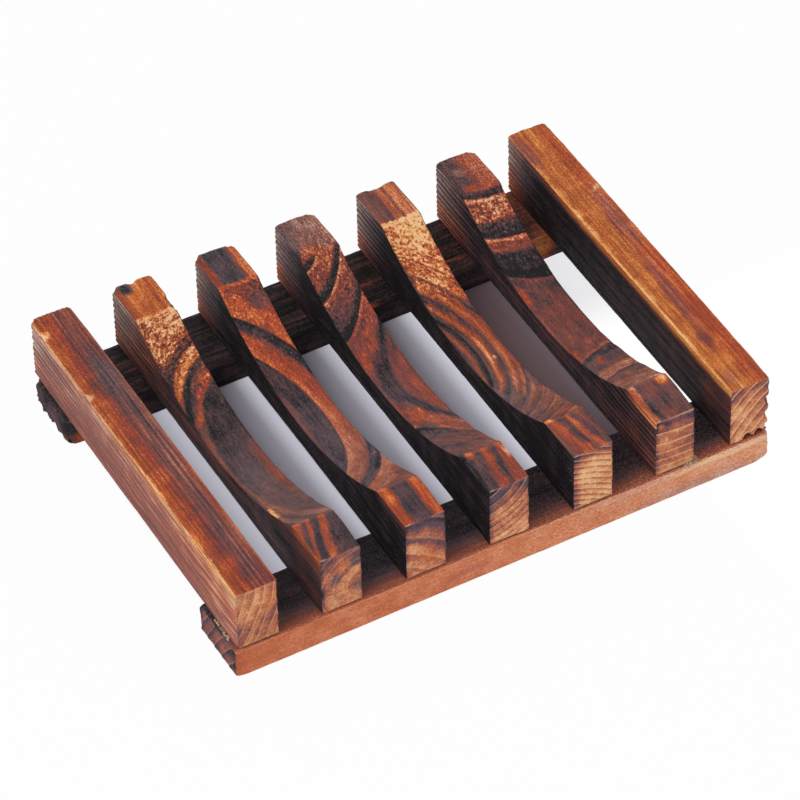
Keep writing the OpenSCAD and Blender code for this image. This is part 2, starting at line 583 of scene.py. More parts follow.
class Place:
    """A place on a stick: its mm, its facing, its rings, and the noises that roughen it."""

    def __init__(self, tree, look, wide):
        self.tree, self.look, self.wide = tree, look, wide
        self.grain, self.facing = self.stored("grain_mm"), self.stored("facing")
        self.x, self.y, self.z = tree.split(self.grain)
        self.fx, self.fy, self.fz = tree.split(self.facing)
        self.ring, self.way_round, self.out = tree.split(self.stored("growth"))
        self.saw, self.hollow, _ = tree.split(self.stored("brushed"))
        self.slow = tree.noise(self.grain, 0.24, 2.0) - 0.5
        layers = tree.join(self.out * 2.2, self.way_round * 0.4, self.y * 0.08)
        layered = tree.noise(layers, 1.0, 3.0, 0.6) - 0.5
        self.fibre = (self.noise("fibre") - 0.5) * 0.6 + layered * 0.8
        self.fine = self.noise("fine") - 0.5
        self.specks = self.noise("specks")
        self.on_side = tree.smooth(self.fz.math("ABSOLUTE"), 0.6, 0.3)
        self.on_top = tree.smooth(self.fz, 0.5, 0.8)
        self.on_end = tree.smooth(self.fy.math("ABSOLUTE"), 0.7, 0.9)
        self.to_right = tree.smooth(self.fx, -0.1, 0.1)

    def stored(self, label):
        settings = {"attribute_type": "GEOMETRY", "attribute_name": label}
        return self.tree.node("ShaderNodeAttribute", settings, output="Vector")

    def noise(self, name):
        stretch, detail, roughness = GRAINS[name]
        return self.tree.noise(self.tree.stretch(self.grain, stretch), 1.0, detail, roughness)

    def along(self, key):
        """A profile of the look, read along the stick."""
        return self.tree.profile(self.y, self.look[key])


print("noises of the wood:", ", ".join(GRAINS))

# %% [markdown]
# ## Scorching the wood
# The maker burns the sticks, brushes the soot off and seals them. How far each place burned
# decides its colour. So the recipe works out three numbers for each place: its scorch, its
# gold and its ash. The place along and across the stick and the ring give them a start.
# Soft ovals and drawn strokes then pull them towards the numbers of a mark
# that the real stick has. Ends, sides and the top have their own numbers.

# %% Marks that pull the char towards their own numbers


def oval_mark(tree, flat, wide, oval):
    """How much a soft oval covers a place."""
    across, along, half_wide, half_long, tilt = oval
    inputs = {
        "Vector": flat, "Location": (across * wide, along, 0.0),
        "Rotation": (0.0, 0.0, math.radians(-tilt)), "Scale": (half_wide, half_long, 1.0),
    }
    nearer = tree.node("ShaderNodeMapping", {"vector_type": "TEXTURE"}, inputs)
    return tree.smooth(tree.vector("LENGTH", nearer, output="Value"), 1.35, 0.4)


def stroke_mark(tree, flat, wide, way, path, half_wide):
    """How much a drawn stroke covers a place. It runs along the stick, or over it."""
    x, y, _ = tree.split(flat)
    if way == "along":
        middle = tree.profile(y, path) * wide
        off, run, margin = x - middle, y, 1.5
    else:
        middle = tree.profile(x / wide, path)
        off, run, margin = y - middle, x / wide, 0.12
    near = tree.smooth(off.math("ABSOLUTE"), half_wide * 1.4, half_wide * 0.5)
    starts = tree.smooth(run, path[0][0] - margin, path[0][0] + margin)
    stops = tree.smooth(run, path[-1][0] + margin, path[-1][0] - margin)
    return near * starts * stops


def add_ovals(tree, char, flat, wide, ovals):
    for oval, target, strength in ovals:
        char = tree.pull(oval_mark(tree, flat, wide, oval) * strength, char, target)
    return char


def add_strokes(tree, char, flat, wide, strokes):
    for way, path, half_wide, target, strength in strokes:
        cover = stroke_mark(tree, flat, wide, way, path, half_wide) * strength
        char = tree.pull(cover, char, target)
    return char


# %% The top of a stick
# Each land has its crease along the stick, and the way that leads out to the end.
LANDS = (("front_land", -32.7, -1), ("rear_land", 33.2, 1))
LAND_MIDDLE = 39


def add_lands(tree, char, x, y, wide, look):
    """The two flat lands of a scooped stick, each with its own stripes across."""
    for key, crease, way in LANDS:
        if look[key] is None:
            continue
        slant, bands, gold, ash = look[key]
        across = x / wide - (y - way * LAND_MIDDLE) * slant
        land = tree.join(tree.profile(across, bands), gold, ash)
        inside = tree.smooth(y * way, crease * way - 0.25, crease * way + 0.25)
        char = tree.pull(inside, char, land)
    return char


def top_char(tree, flat, ring, look, wide):
    """Scorch, gold and ash on the top."""
    x, y, _ = tree.split(flat)
    layers = tree.profile(ring, look["layers"])
    calm = tree.profile(y, look["calm"])
    scorch = tree.profile(y, look["along"]) + tree.profile(x / wide, look["across"]) + layers * calm
    ash = tree.profile(y, look["ash"]) * tree.profile(x / wide, look["ash_across"])
    char = tree.join(scorch, tree.profile(x / wide, look["gold"]), ash)
    char = add_lands(tree, char, x, y, wide, look)
    char = add_ovals(tree, char, flat, wide, look["ovals"])
    return add_strokes(tree, char, flat, wide, look["strokes"])


# %% The sides, and all the faces together
# The rim is the upper edge of the left side, in mm above the foot.
RIM_FROM = 11.8
RIM_TO = 13.8


def by_face(place, top, low_side, high_side, under):
    """Mixes three numbers from those of each face."""
    tree = place.tree
    side = tree.pull(place.to_right, low_side, high_side)
    faces = tree.pull(tree.smooth(place.fz, 0.45, 0.75), side, top)
    return tree.pull(tree.smooth(place.fz, -0.45, -0.8), faces, under)


def scorched(place, ring):
    """Scorch, gold and ash on every face. Noise shakes the marks, so that they fray."""
    tree, look = place.tree, place.look
    slow, fine, fibre = place.slow, place.fine, place.fibre
    shaken = tree.join(slow * 1.6 + fine * 0.8, slow * 3.0 + fibre * 2.4, 0.0)
    flat = tree.vector("ADD", tree.stretch(place.grain, (1.0, 1.0, 0.0)), shaken)
    top = top_char(tree, flat, ring, look, place.wide)
    low_side = look["low_side"]
    if look["rim"]:
        along, target = look["rim"]
        rim = tree.smooth(place.z + slow * 1.6 + fibre, RIM_FROM, RIM_TO)
        low_side = tree.pull(rim * tree.profile(place.y, along), low_side, target)
    shaken = tree.join(place.z + slow * 2 + fine, place.y + slow * 6 + fibre * 3, 0.0)
    low_side = add_ovals(tree, low_side, shaken, 1.0, look["side_marks"])
    high_side = add_ovals(tree, look["high_side"], shaken, 1.0, look["high_marks"])
    return by_face(place, top, low_side, high_side, look["under"])


print("marks and faces ready")

# %% [markdown]
# ## From scorch to shade
# The scorch alone would be smooth. The shade adds what the wood does to it: dark late wood,
# fibres, specks and long streaks, and on the sides the saw's marks. It also paints light and
# shade: the sides lighter or darker along and up them, lightest at the far tips, and the
# hollows darker. Where the surface is torn, pale splinters, partly raw wood and partly painted
# glints, lie beside black pits. Fingers and the brush have rubbed the long edges and the
# creases of the scoop paler. Each step takes a shade and returns one.

# %% How dark each place is
# The creases lie this far before and behind the dish's middle, in mm.
FRONT_CREASE = 32.9
REAR_CREASE = 33.1


def ring_lines(tree, ring, dark_from, line_width):
    """The dark late wood and the thin pale line of each ring."""
    share = ring.math("FRACT")
    late = tree.smooth(share, *dark_from) * tree.smooth(share, 1.0, 0.94)
    return late, tree.smooth(share, line_width, line_width * 0.35)


def grain_shade(place, scorch, contrast, speckle, late):
    """The scorch with the rings, painted light on the sides, the saw's stripes, painted shade in hollows,
    the fibres, the specks and the streaks.
    """
    tree, look, sides = place.tree, place.look, place.on_side
    # Painted light and sheen: the sides are painted lighter or darker along and up them, lightest at the
    # far tips, which stand out of the gaps. The saw's stripes come on top.
    painted_side_light_and_saw = place.along("side_along") + tree.profile(place.z, look["side_up"])
    painted_side_light_and_saw = painted_side_light_and_saw - (place.saw - 0.5) * place.along("side_level")
    grit = place.along("grit")
    shade = scorch + contrast * (late - 0.5) + painted_side_light_and_saw * sides
    stringy = tree.mix(sides, place.along("strings") * look["fibre"], look["side_fibre"])
    shade = shade + place.fibre * stringy + place.fine * grit * look["fine"]
    shade = shade + place.slow * look["slow"] + (place.specks - 0.5) * speckle * grit
    # Painted shade: the hollows of chips and brads are darker, unless the look gives a negative number,
    # which makes them paler, like fresh wood.
    shade = shade + tree.smooth(place.hollow, 0.1, 0.5) * look["hollow"]
    share = place.x / place.wide
    lasting = tree.mix(sides, tree.profile(share, look["streaks"]), look["side_streaks"])
    return shade + (place.noise("streaks") - 0.5) * lasting


def torn_wood(place):
    """How torn a place is, and its splinters."""
    tree = place.tree
    torn = place.along("torn") * place.on_top
    where = tree.join(place.out * 2.4, place.way_round * 1.3, place.y * 1.2)
    return torn, tree.noise(where, 1.0, 4.0, 0.75) + place.slow * 0.25


def torn_shade(place, shade, scorch, torn, splinters):
    tree = place.tree
    # Splinters are paler, partly raw wood and partly painted glints; pits between them are darker.
    glint = tree.smooth(splinters, 0.5, 0.64) * torn
    pit = tree.smooth(splinters, 0.49, 0.36) * torn
    return shade + pit * 0.5 - glint * (1 - tree.smooth(scorch, 0.55, 0.8) * 0.5) * 0.5


def rubbed_shade(place, shade):
    """Pales the long edges and the two creases of the scoop."""
    tree, look = place.tree, place.look
    edge = tree.smooth((place.fx * place.fz).math("ABSOLUTE"), 0.2, 0.42)
    worn = tree.mix(place.to_right, *look["edges"])
    shade = shade - edge * worn * (0.6 + place.slow * 2.5 + (place.specks - 0.5) * 3)
    front, rear = look["creases"]
    crease = tree.smooth((place.y + FRONT_CREASE).math("ABSOLUTE"), 0.8, 0.2) * front
    crease = crease + tree.smooth((place.y - REAR_CREASE).math("ABSOLUTE"), 0.8, 0.2) * rear
    return shade - crease * place.on_top * (0.6 + (place.specks - 0.5) * 3)


# %% [markdown]
# ## From shade to colour
# One shade reads all three ramps: gold mixes the first two, and ash mixes in the third. On
# the top's darkest char that ash grey is partly painted sheen, and on the upper sides towards
# the tips it is all painted sheen. The pale line of each ring, a rosy painted sheen on one
# outer side, and white flecks, partly ash and partly painted glints, come on top. The ends
# are cut across the grain, so they show the rings as arcs with fine rays across them, and
# some have a stain of old glue at the foot.

# %% Colour on the long faces


def long_colour(place, shade, char, line, torn):
    tree, look, sides = place.tree, place.look, place.on_side
    scorch, gold, ash = char
    red, golden = tree.ramp(shade, RED_CHAR), tree.ramp(shade, GOLD_CHAR)
    colour = tree.tint(gold + place.slow * 0.8, red, golden)
    # Slate grey over the top's darkest char: partly ash, partly painted sheen.
    charred = tree.smooth(scorch, 0.5, 0.72) * place.on_top
    ash = ash + charred * place.along("slate")
    # Painted sheen: the upper sides turn ash grey where the profile rises along the stick, mostly at the
    # far tips, and on the front rail towards its right end.
    ash = ash + place.along("side_ash") * sides * tree.smooth(place.z, 3.0, 9.0)
    colour = tree.tint(ash, colour, tree.ramp(shade, ASH_CHAR))
    colour = tree.tint(line, colour, PALE_LINE)
    # Painted sheen: a rosy tint over sides that face left; only the left outer stick, which faces the
    # light, has some.
    tint, start = look["wash"]
    washed = (place.slow + start) * sides * tree.smooth(place.fx, 0.1, -0.1) * look["washed"]
    colour = tree.tint(washed, colour, tint)
    # White flecks, partly ash and partly painted glints, more on dark torn wood.
    flecks = look["flecks"] + torn * tree.smooth(scorch, 0.6, 0.8) * 0.5
    return tree.tint(tree.smooth(place.noise("flecks"), 0.61, 0.7) * flecks, colour, WHITE_ASH_AND_HIGHLIGHT)


# %% Colour on the ends
BROW_FROM = -42.6
BROW_TO = -43.3


def end_colour(place, ring):
    """End grain: pale lines on the rings, fine rays across them, and scorched corners."""
    tree, look, wide = place.tree, place.look, place.wide
    x, y, z, slow, specks = place.x, place.y, place.z, place.slow, place.specks
    late, line = ring_lines(tree, ring * look["end_fine"], look["end_late"], look["end_width"])
    where = tree.join(place.way_round * 1.8, y * 0.3, place.out * 0.6)
    rays = tree.noise(where, 1.0, 3.0, 0.6) - 0.5
    level = z - (x - wide / 2) * look["end_slant"]
    shade = tree.profile(level, look["end"]) + tree.profile(x / wide, look["end_across"])
    shade = shade + (late - 0.5) * look["end_rings"] + rays * 0.35
    colour = tree.ramp(shade + slow * 0.9 + (specks - 0.5) * 1.1, END_GRAIN)
    glued = tree.smooth(z + slow * 4, 1.4, 0.2) * tree.smooth(specks, 0.35, 0.6) * look["glue"]
    colour = tree.tint(glued, colour, GLUE_STAIN)
    flat = tree.join(x + slow * 3 + rays, z + slow * 3, 0.0)
    for oval, tint, strength in look["end_marks"]:
        cover = oval_mark(tree, flat, wide, oval) * (0.6 + specks * 0.8) * strength
        colour = tree.tint(cover, colour, tint)
    return tree.tint(line * look["end_line"], colour, RAW_WOOD), rays


def brow(place):
    """A broken pale line where the top turns over the front end: worn, and partly a painted highlight."""
    tree = place.tree
    turned = tree.smooth((place.fy * place.fz).math("ABSOLUTE"), 0.2, 0.42)
    turned = turned * tree.smooth(place.y, BROW_FROM, BROW_TO) * place.look["brow"]
    return turned * tree.smooth(place.specks + place.slow, 0.45, 0.6)


# %% The recipe for charred wood


def charred_wood(name, look, wide):
    material, tree = new_material(name)
    place = Place(tree, look, wide)
    ring = place.ring + place.fine * look["fray"] + place.fibre * look["fray"] * 0.5
    late, line = ring_lines(tree, ring, look["late"], look["line_width"])
    char = tree.split(scorched(place, ring))
    cuts = by_face(place, look["top"], look["side"], look["side"], look["side"])
    contrast, pale, speckle = tree.split(cuts)
    scorch = char[0]
    torn, splinters = torn_wood(place)
    shade = grain_shade(place, scorch, contrast, speckle, late)
    shade = torn_shade(place, shade, scorch, torn, splinters)
    shade = rubbed_shade(place, shade)
    colour = long_colour(place, shade, char, line * pale, torn)
    face, rays = end_colour(place, ring)
    colour = tree.tint(place.on_end, colour, face)
    # The brow: worn, and partly a painted highlight on the edge.
    colour = tree.tint(brow(place), colour, WHITE_ASH_AND_HIGHLIGHT)
    roughness = 0.5 + place.fibre * 0.25 + place.on_side * 0.22 + torn * 0.15 + place.on_end * 0.15
    bumps = place.fibre * 0.1 + place.fine * 0.06 + late * 0.03 + splinters * torn * 0.5
    bumps = bumps + rays * place.on_end * 0.08 + place.specks * 0.05
    normal = tree.node("ShaderNodeBump", inputs={"Height": bumps, "Distance": MM, "Strength": 1.0})
    inputs = {"Base Color": colour, "Roughness": roughness, "Normal": normal}
    inputs["Specular IOR Level"] = 0.25
    shader = tree.node("ShaderNodeBsdfPrincipled", inputs=inputs)
    tree.close("ShaderNodeOutputMaterial", "Surface", shader)
    return material


print("recipe for charred wood ready")

# %% [markdown]
# ## The look of each stick
# No two sticks came from the same place in a tree or met the same flame. Each has its own
# pith, ring width and scorch marks, set against the photograph in mm along the
# stick and shares across it. A slat runs from -44 in front to 44.5, and a rail from -60 to
# 60. Three numbers in a row are scorch, gold and ash, but after top and side they say how
# much the rings, their pale lines and the specks show. A list of pairs is a profile of
# places and heights. An oval gives its middle, its half width, its half length and its tilt
# in degrees, then what it pulls towards, and how strongly. On a side its first number is a
# height in mm, and on an end it pulls towards a paint. A stroke gives its way, its path and
# its half width, then the same. What a stick doesn't say it takes from the plain one.

# %% Numbers shared by the sticks
PLAIN = dict(
    # The wood in general
    fibre=0.7, fine=0.45, slow=0.35, fray=0.12, late=(0.4, 0.9), line_width=0.09, flecks=0.08,
    hollow=0.4,
    # The top
    top=(0.0, 0.0, 0.55), along=[(-44, 0.5), (44, 0.5)], across=[(0, 0.0), (1, 0.0)],
    layers=[(-1, 0.0), (1, 0.0)], calm=[(-44, 1.0), (44, 1.0)], gold=[(0, 0.2), (1, 0.2)],
    ash=[(-44, 0.0), (44, 0.0)], ash_across=[(0, 1.0), (1, 1.0)],
    slate=[(-44, 0.25), (-34, 0.4), (-8, 0.4), (6, 0.1), (33, 0.1), (36, 0.4), (44, 0.4)],
    strings=[(-44, 1.0), (44, 1.0)], streaks=[(0, 0.3), (1, 0.3)],
    grit=[(-44, 0.9), (-10, 1.0), (15, 1.5), (44, 1.5)], torn=[(-44, 0.0), (44, 0.0)], front_land=None,
    rear_land=None, ovals=[], strokes=[], creases=(0.15, 0.2), edges=(0.1, 0.1), brow=0.5,
    # The sides and the underside
    side=(0.06, 0.0, 0.3), low_side=(0.96, 0.1, 0.3), high_side=(0.96, 0.1, 0.3),
    under=(0.85, 0.3, 0.3), side_up=[(0, 0.0), (14, 0.0)],
    # Painted light and sheen: the sides are lighter and greyer towards the far tips, which stand out of
    # the gaps.
    side_along=[(-44, 0.04), (-20, 0.0), (0, 0.0), (24, 0.05), (32, 0.0), (38, -0.24), (44, -0.6)],
    side_level=[(-44, 0.05), (-30, 0.02), (30, 0.02), (38, 0.3), (44, 0.45)],
    side_ash=[(-44, 0.0), (30, 0.1), (38, 0.6), (44, 0.9)], side_streaks=0.3, side_fibre=0.6,
    side_marks=[], high_marks=[], rim=None, wash=(paint(168, 108, 108), 0.4), washed=0.0,
    # The ends
    end=[(0, 0.15), (9, 0.3), (14.7, 0.6)], end_across=[(0, 0.35), (0.12, 0.0), (0.9, 0.0), (1, 0.25)],
    end_slant=0.0, end_rings=0.25, end_line=0.5, end_fine=1.0, end_width=0.15, end_late=(0.4, 0.9),
    end_marks=[], glue=0.0,
)
SLATS = {}
RAILS = {}


def growth(across, up, width, rate=0.001, phase=0.0, lean=0.0, sag=0.0, waver=0.5):
    names = ("Pith Across", "Pith Up", "Ring Width", "Growth", "Phase", "Lean", "Sag", "Waver")
    return dict(zip(names, (across, up, width, rate, phase, lean, sag, waver)))


def describe(sticks, node, wood, shape=None, chips=(), **marks):
    """Notes a stick's growth, its own shape, its chips, and where it differs from PLAIN."""
    sticks[node] = ({**wood, **(shape or {})}, list(chips), {**PLAIN, **marks})
    print(node, "differs from the plain stick in", len(marks), "ways")


# %% [markdown]
# ### The left outer stick
# Its grain runs almost straight, in fine streaks, from reddish brown on the left to ash grey
# on the right. Its left side is the only one in full light, and a rosy painted sheen lies over it.
# Small chips are gone from its left edge and from its far corner.

# %% The left outer stick
describe(
    SLATS, "left_outer_slat", growth(-30, 20, 1.0, waver=1.2),
    shape={"Back Round": 0.8},
    chips=[(0.0, 18.5, 14.7), (0.0, 38.5, 14.7), (0.0, 44.9, 14.7), (0.0, 44.9, 12.0),
           (0.0, 44.9, 9.5)],
    # The wood in general
    late=(0.3, 0.8), hollow=-0.3,
    # The top
    top=(0.08, 0.0, 0.6), along=[(-44, 0.02), (-20, 0.0), (10, 0.02), (22, 0.06), (34, 0.0), (44, 0.0)],
    across=[(0, 0.26), (0.07, 0.4), (0.25, 0.47), (0.4, 0.53), (0.55, 0.6), (0.7, 0.6), (0.88, 0.54),
            (0.96, 0.44), (1, 0.42)],
    gold=[(0, 0.6), (0.2, 0.3), (0.4, 0.0), (1, 0.0)],
    ash=[(-44, 0.0), (-36, 0.25), (-6, 0.3), (4, 0.45), (22, 0.5), (34, 0.2), (44, 0.15)],
    ash_across=[(0, 0.0), (0.4, 0.15), (0.7, 1.0), (1, 1.0)],
    streaks=[(0, 0.3), (0.3, 0.3), (0.45, 0.85), (0.85, 0.95), (1, 0.4)],
    ovals=[((0.15, -33, 1.4, 3.5, 2), (0.54, 0.0, 0.2), 0.6),
           ((0.3, -38, 1.6, 5, 0), (0.4, 0.0, 0), 0.5), ((0.14, 8, 1.1, 30, 0), (0.4, 0.4, 0), 0.7),
           ((0.04, -10, 0.5, 6, 0), (0.06, 0.6, 0), 0.7), ((0.03, -35, 0.4, 9, 0), (0.1, 1.0, 0), 0.7),
           ((0.7, 22, 2.2, 7, 0), (0.72, 0, 0.7), 0.6),
           ((0.1, 18.5, 0.7, 1.2, 0), (0.08, 0.5, 0.2), 0.8),
           ((0.1, 38.5, 0.8, 1.4, 0), (0.05, 0.6, 0), 0.8),
           ((0.97, -15, 0.5, 15, 0), (0.34, 0.0, 0), 0.7)],
    creases=(0.0, 0.0), edges=(0.3, 0.1), brow=0.2,
    # The sides and the underside
    side=(0.06, 0.0, 0.4), low_side=(0.38, 0.0, 0.35),
    side_up=[(0, 0.14), (6, 0.08), (10, 0.0), (14.7, -0.2)],
    side_along=[(-44, -0.18), (-20, -0.04), (0, 0.0), (36, 0.04), (44, -0.14)],
    side_level=[(-44, 0.05), (20, 0.1), (34, 0.3), (44, 0.4)],
    side_ash=[(-44, -0.3), (-10, 0.0), (30, 0.2), (44, 0.5)], side_streaks=1.7, side_fibre=0.7,
    rim=([(-44, 0.9), (-26, 0.9), (-18, 0.4), (-12, 0.9), (44, 0.8)], (0.28, 0.7, 0.0)),
    # A rosy painted sheen over the left side, which faces the light.
    wash=(paint(164, 108, 102), 0.4), washed=0.75,
    # The ends
    end=[(0, 0.4), (1.2, 0.46), (8, 0.5), (14.7, 0.38)],
    end_across=[(0, 0.2), (0.1, 0.0), (0.95, 0.0), (1, 0.1)], end_rings=0.14, end_line=0.4,
    end_fine=0.5, end_width=0.2,
    end_marks=[((0.27, 8, 0.3, 3.6, 33), PALE_GOLD, 0.5), ((0.36, 2.6, 0.25, 2.8, 30), PALE_GOLD, 0.5),
               ((0.66, 7.6, 0.2, 3.4, 30), PALE_GOLD, 0.35), ((0.8, 10, 1.6, 3.0, 20), ORANGE, 0.35),
               ((0.15, 12.5, 1.4, 2.0, 0), PALE_GOLD, 0.4), ((0.1, 4, 0.8, 2.4, 20), SLATE, 0.25)],
    glue=0.5,
)

# %% [markdown]
# ### The first scooped stick
# Its pith lies low under the right edge, so the scoop cuts wide arches. The far part is
# torn and gold, and two bold strokes cross it on the slope.

# %% The first scooped stick
describe(
    SLATS, "scooped_slat_1", growth(9.5, -2.4, 2.36, 0.045, -0.39, -0.10, 0.0013),
    shape={"Back Round": 0.7, "Torn Relief": 0.2, "Torn From": 14.0},
    chips=[(9.5, 33.6, 14.7), (9.6, 35.0, 14.7), (9.6, 36.2, 14.7), (4.6, 45.0, 14.7),
           (0.0, 44.3, 14.7)],
    # The top
    along=[(-33, 0.62), (-26, 0.62), (-20, 0.62), (-12, 0.64), (-4, 0.76), (2, 0.84), (8, 0.9),
           (16, 0.88), (20, 0.8), (25, 0.66), (32, 0.56)],
    across=[(0, 0.02), (0.7, 0.0), (1, -0.03)],
    layers=[(-1.8, 0.0), (-0.3, 0.0), (-0.12, -0.22), (0.15, -0.26), (0.38, -0.05), (0.5, 0.06),
            (0.72, 0.06), (0.85, -0.28), (1.25, -0.34), (1.42, 0.02), (1.7, 0.06), (2.0, -0.2),
            (2.6, -0.3)],
    calm=[(-33, 0.6), (-20, 0.8), (-10, 1.0), (8, 1.0), (18, 1.3), (33, 1.0)],
    gold=[(0, 0.4), (1, 0.4)],
    ash=[(-33, 0.7), (-24, 0.55), (-8, 0.5), (2, 0.3), (10, 0.2), (17, 0.0), (44, 0.1)],
    strings=[(-44, 0.8), (-33, 0.5), (4, 0.5), (14, 1.0)],
    torn=[(-44, 0), (14, 0), (17, 0.3), (22, 0.6), (25, 1.0), (32.5, 1.0), (33.2, 0), (44, 0)],
    front_land=(0.03, [(-0.3, 0.4), (-0.02, 0.45), (0.05, 0.74), (0.11, 0.74), (0.15, 0.42),
                       (0.21, 0.44), (0.25, 0.82), (0.37, 0.84), (0.43, 0.44), (0.55, 0.42),
                       (0.62, 0.78), (1.4, 0.84)], 0.2, 0.1),
    rear_land=(0.0, [(0, 0.62), (0.08, 0.5), (0.16, 0.36), (0.5, 0.33), (0.7, 0.38), (0.78, 0.5),
                     (0.86, 0.34), (1, 0.3)], 0.6, 0.0),
    ovals=[((0.05, -24.5, 0.8, 2.6, 0), (0.06, 0.7, 0), 1.0),
           ((0.9, -8, 1.6, 11, 0), (0.5, 0, 0.1), 0.7), ((0.1, 2.5, 0.5, 1.0, 0), (0.45, 0, 0), 0.7),
           ((0.27, 42.6, 1.3, 1.9, 0), (0.95, 0.2, 0.6), 1.0),
           ((0.62, 13, 2.8, 4.5, -8), (0.9, 0.1, 0.3), 0.6),
           ((0.06, 22, 0.6, 3, 0), (0.9, 0.1, 0.2), 0.6),
           ((0.03, -16, 0.5, 5, 0), (0.86, 0.1, 0.3), 0.6)],
    strokes=[("over", [(0.05, 8.5), (0.3, 10.5), (0.5, 15), (0.75, 17), (0.95, 18.5)], 1.1,
              (0.36, 0.0, 0), 0.75),
             ("over", [(0.05, 16.2), (0.2, 18), (0.4, 20.5), (0.65, 22.5), (0.9, 24)], 1.0,
              (0.26, 0.7, 0), 0.8)],
    # The sides and the underside
    low_side=(0.88, 0.4, 0.3),
    side_up=[(0, 0.0), (2, 0.0), (3.5, -0.12), (5, 0.0), (8, -0.05), (14, -0.25)],
    side_along=[(-44, -0.05), (-32, 0.0), (-10, -0.04), (22, -0.06), (30, -0.14), (40, -0.22),
                (44, -0.3)],
    side_level=[(-44, 0.1), (-20, 0.08), (10, 0.1), (24, 0.3), (44, 0.4)],
    side_marks=[((4, -24, 3.6, 10, 0), (0.76, 0.0, 1.0), 0.75),
                ((7.6, 34, 0.5, 12, 0), (0.5, 0.9, 0), 0.8),
                ((4.3, 5, 1.0, 11, 0), (0.68, 0.4, 0.3), 0.6)],
    rim=([(-44, 0.7), (-34, 0.7), (-30, 0.0), (44, 0.0)], (0.56, 0.4, 0.0)),
    # The ends
    end=[(0, 0.3), (3, 0.34), (6, 0.36), (7.4, 0.44), (8.2, 0.62), (11, 0.62), (14.7, 0.66)],
    end_slant=0.7, end_rings=0.1, end_line=0.15,
    end_marks=[((0.85, 11.3, 1.8, 2.2, 0), SLATE, 0.8), ((0.3, 7.4, 1.5, 1.7, 40), SLATE, 0.75),
               ((0.9, 4.4, 1.3, 2.2, 0), SLATE, 0.6), ((0.45, 10.6, 2.2, 0.9, -30), ORANGE, 0.3),
               ((0.8, 8.9, 1.4, 0.7, 0), PALE_GOLD, 0.5), ((0.3, 3.0, 1.6, 1.6, 30), PALE_LINE, 0.35)],
)

# %% [markdown]
# ### The second scooped stick
# Few and wide rings cross it in long sweeps, one of them edged in black and ash.

# %% The second scooped stick
describe(
    SLATS, "scooped_slat_2", growth(-12.3, -19.1, 3.74, -0.056, 0.25, -0.0167, -0.0012, waver=0.4),
    shape={"Back Round": 1.5, "Torn Relief": 0.06},
    chips=[(9.2, 44.5, 14.7), (0.0, 44.5, 14.7)],
    # The top
    along=[(-33, 0.02), (-10, 0.0), (0, 0.03), (8, 0.08), (16, 0.06), (33, 0.04)],
    layers=[(-1.0, 0.76), (-0.3, 0.77), (-0.03, 0.8), (0.02, 0.26), (0.12, 0.3), (0.3, 0.4),
            (0.5, 0.42), (0.62, 0.5), (0.7, 0.84), (0.97, 0.92), (1.01, 0.28), (1.1, 0.3), (1.5, 0.34),
            (1.65, 0.52), (2.3, 0.55)],
    gold=[(0, 0.1), (1, 0.1)], ash=[(-33, 0.45), (-14, 0.4), (0, 0.15), (14, 0.0), (33, 0.0)],
    slate=[(-44, 0.5), (-34, 0.5), (2, 0.55), (8, 0.2), (33, 0.1), (34, 0.7), (44, 0.7)],
    strings=[(-44, 0.8), (-33, 0.6), (4, 0.6), (14, 1.0)],
    torn=[(-44, 0), (12, 0), (18, 0.15), (28, 0.25), (32, 0.5), (33, 0.3), (33.5, 0), (44, 0)],
    front_land=(0.0, [(0, 0.4), (0.1, 0.34), (0.2, 0.34), (0.26, 0.5), (0.31, 0.78), (0.66, 0.8),
                      (0.72, 0.56), (0.78, 0.32), (0.92, 0.3), (1, 0.4)], 0.1, 0.0),
    rear_land=(0.0, [(0, 0.55), (0.14, 0.48), (0.22, 0.8), (0.68, 0.82), (0.76, 0.6), (0.83, 0.3),
                     (0.93, 0.26), (1, 0.4)], 0.2, 0.0),
    ovals=[((0.3, -27, 1.2, 5.2, 32), (0.3, 0.2, 0), 0.5),
           ((0.05, -1, 1.2, 14, 0), (0.6, 0.0, 0), 0.65),
           ((0.78, 29, 2.2, 2.6, 0), (0.7, 0.0, 0.2), 0.85),
           ((0.5, 22, 2.0, 2.2, -30), (0.86, 0, 0.2), 0.5),
           ((0.85, -17, 0.6, 0.8, 30), (0.05, 0.2, 0.7), 0.9),
           ((0.9, -28, 1.4, 4, 0), (0.6, 0.1, 0.3), 0.6),
           ((0.15, -36, 0.8, 1.4, 0), (0.2, 0.2, 0), 0.7),
           ((0.95, 38, 0.8, 5, 0), (0.34, 0.4, 0.2), 0.6)],
    strokes=[("over", [(0.05, -28), (0.35, -24.5), (0.65, -20), (0.98, -14.5)], 1.2, (0.74, 0.0, 0.7),
              0.85),
             ("over", [(0.02, -25), (0.3, -21.5), (0.6, -17), (0.95, -11)], 0.5, (0.4, 0.0, 0.6), 0.6)],
    creases=(0.12, 0.35),
    # The sides and the underside
    rim=([(-44, 0.7), (-35, 0.6), (-31, 0.0), (44, 0.0)], (0.5, 0.1, 0.1)),
    # The ends
    end=[(0, 0.36), (3, 0.36), (6, 0.46), (8, 0.64), (10, 0.62), (11, 0.8), (14.7, 0.84)],
    end_slant=-0.55, end_rings=0.2, end_line=0.12,
    end_marks=[((0.58, 12.0, 3.6, 1.1, 20), SLATE, 0.75), ((0.2, 8.8, 2.6, 0.8, 30), SLATE, 0.7),
               ((0.55, 8.4, 3.4, 0.9, 26), SLATE, 0.3), ((0.55, 4.6, 3.0, 1.3, 26), ORANGE, 0.4),
               ((0.12, 3.6, 0.9, 1.6, 0), PALE_LINE, 0.4)],
)

# %% [markdown]
# ### The third scooped stick
# Its pith runs above it, so the rings cross the scoop in bands with sharp pale edges.

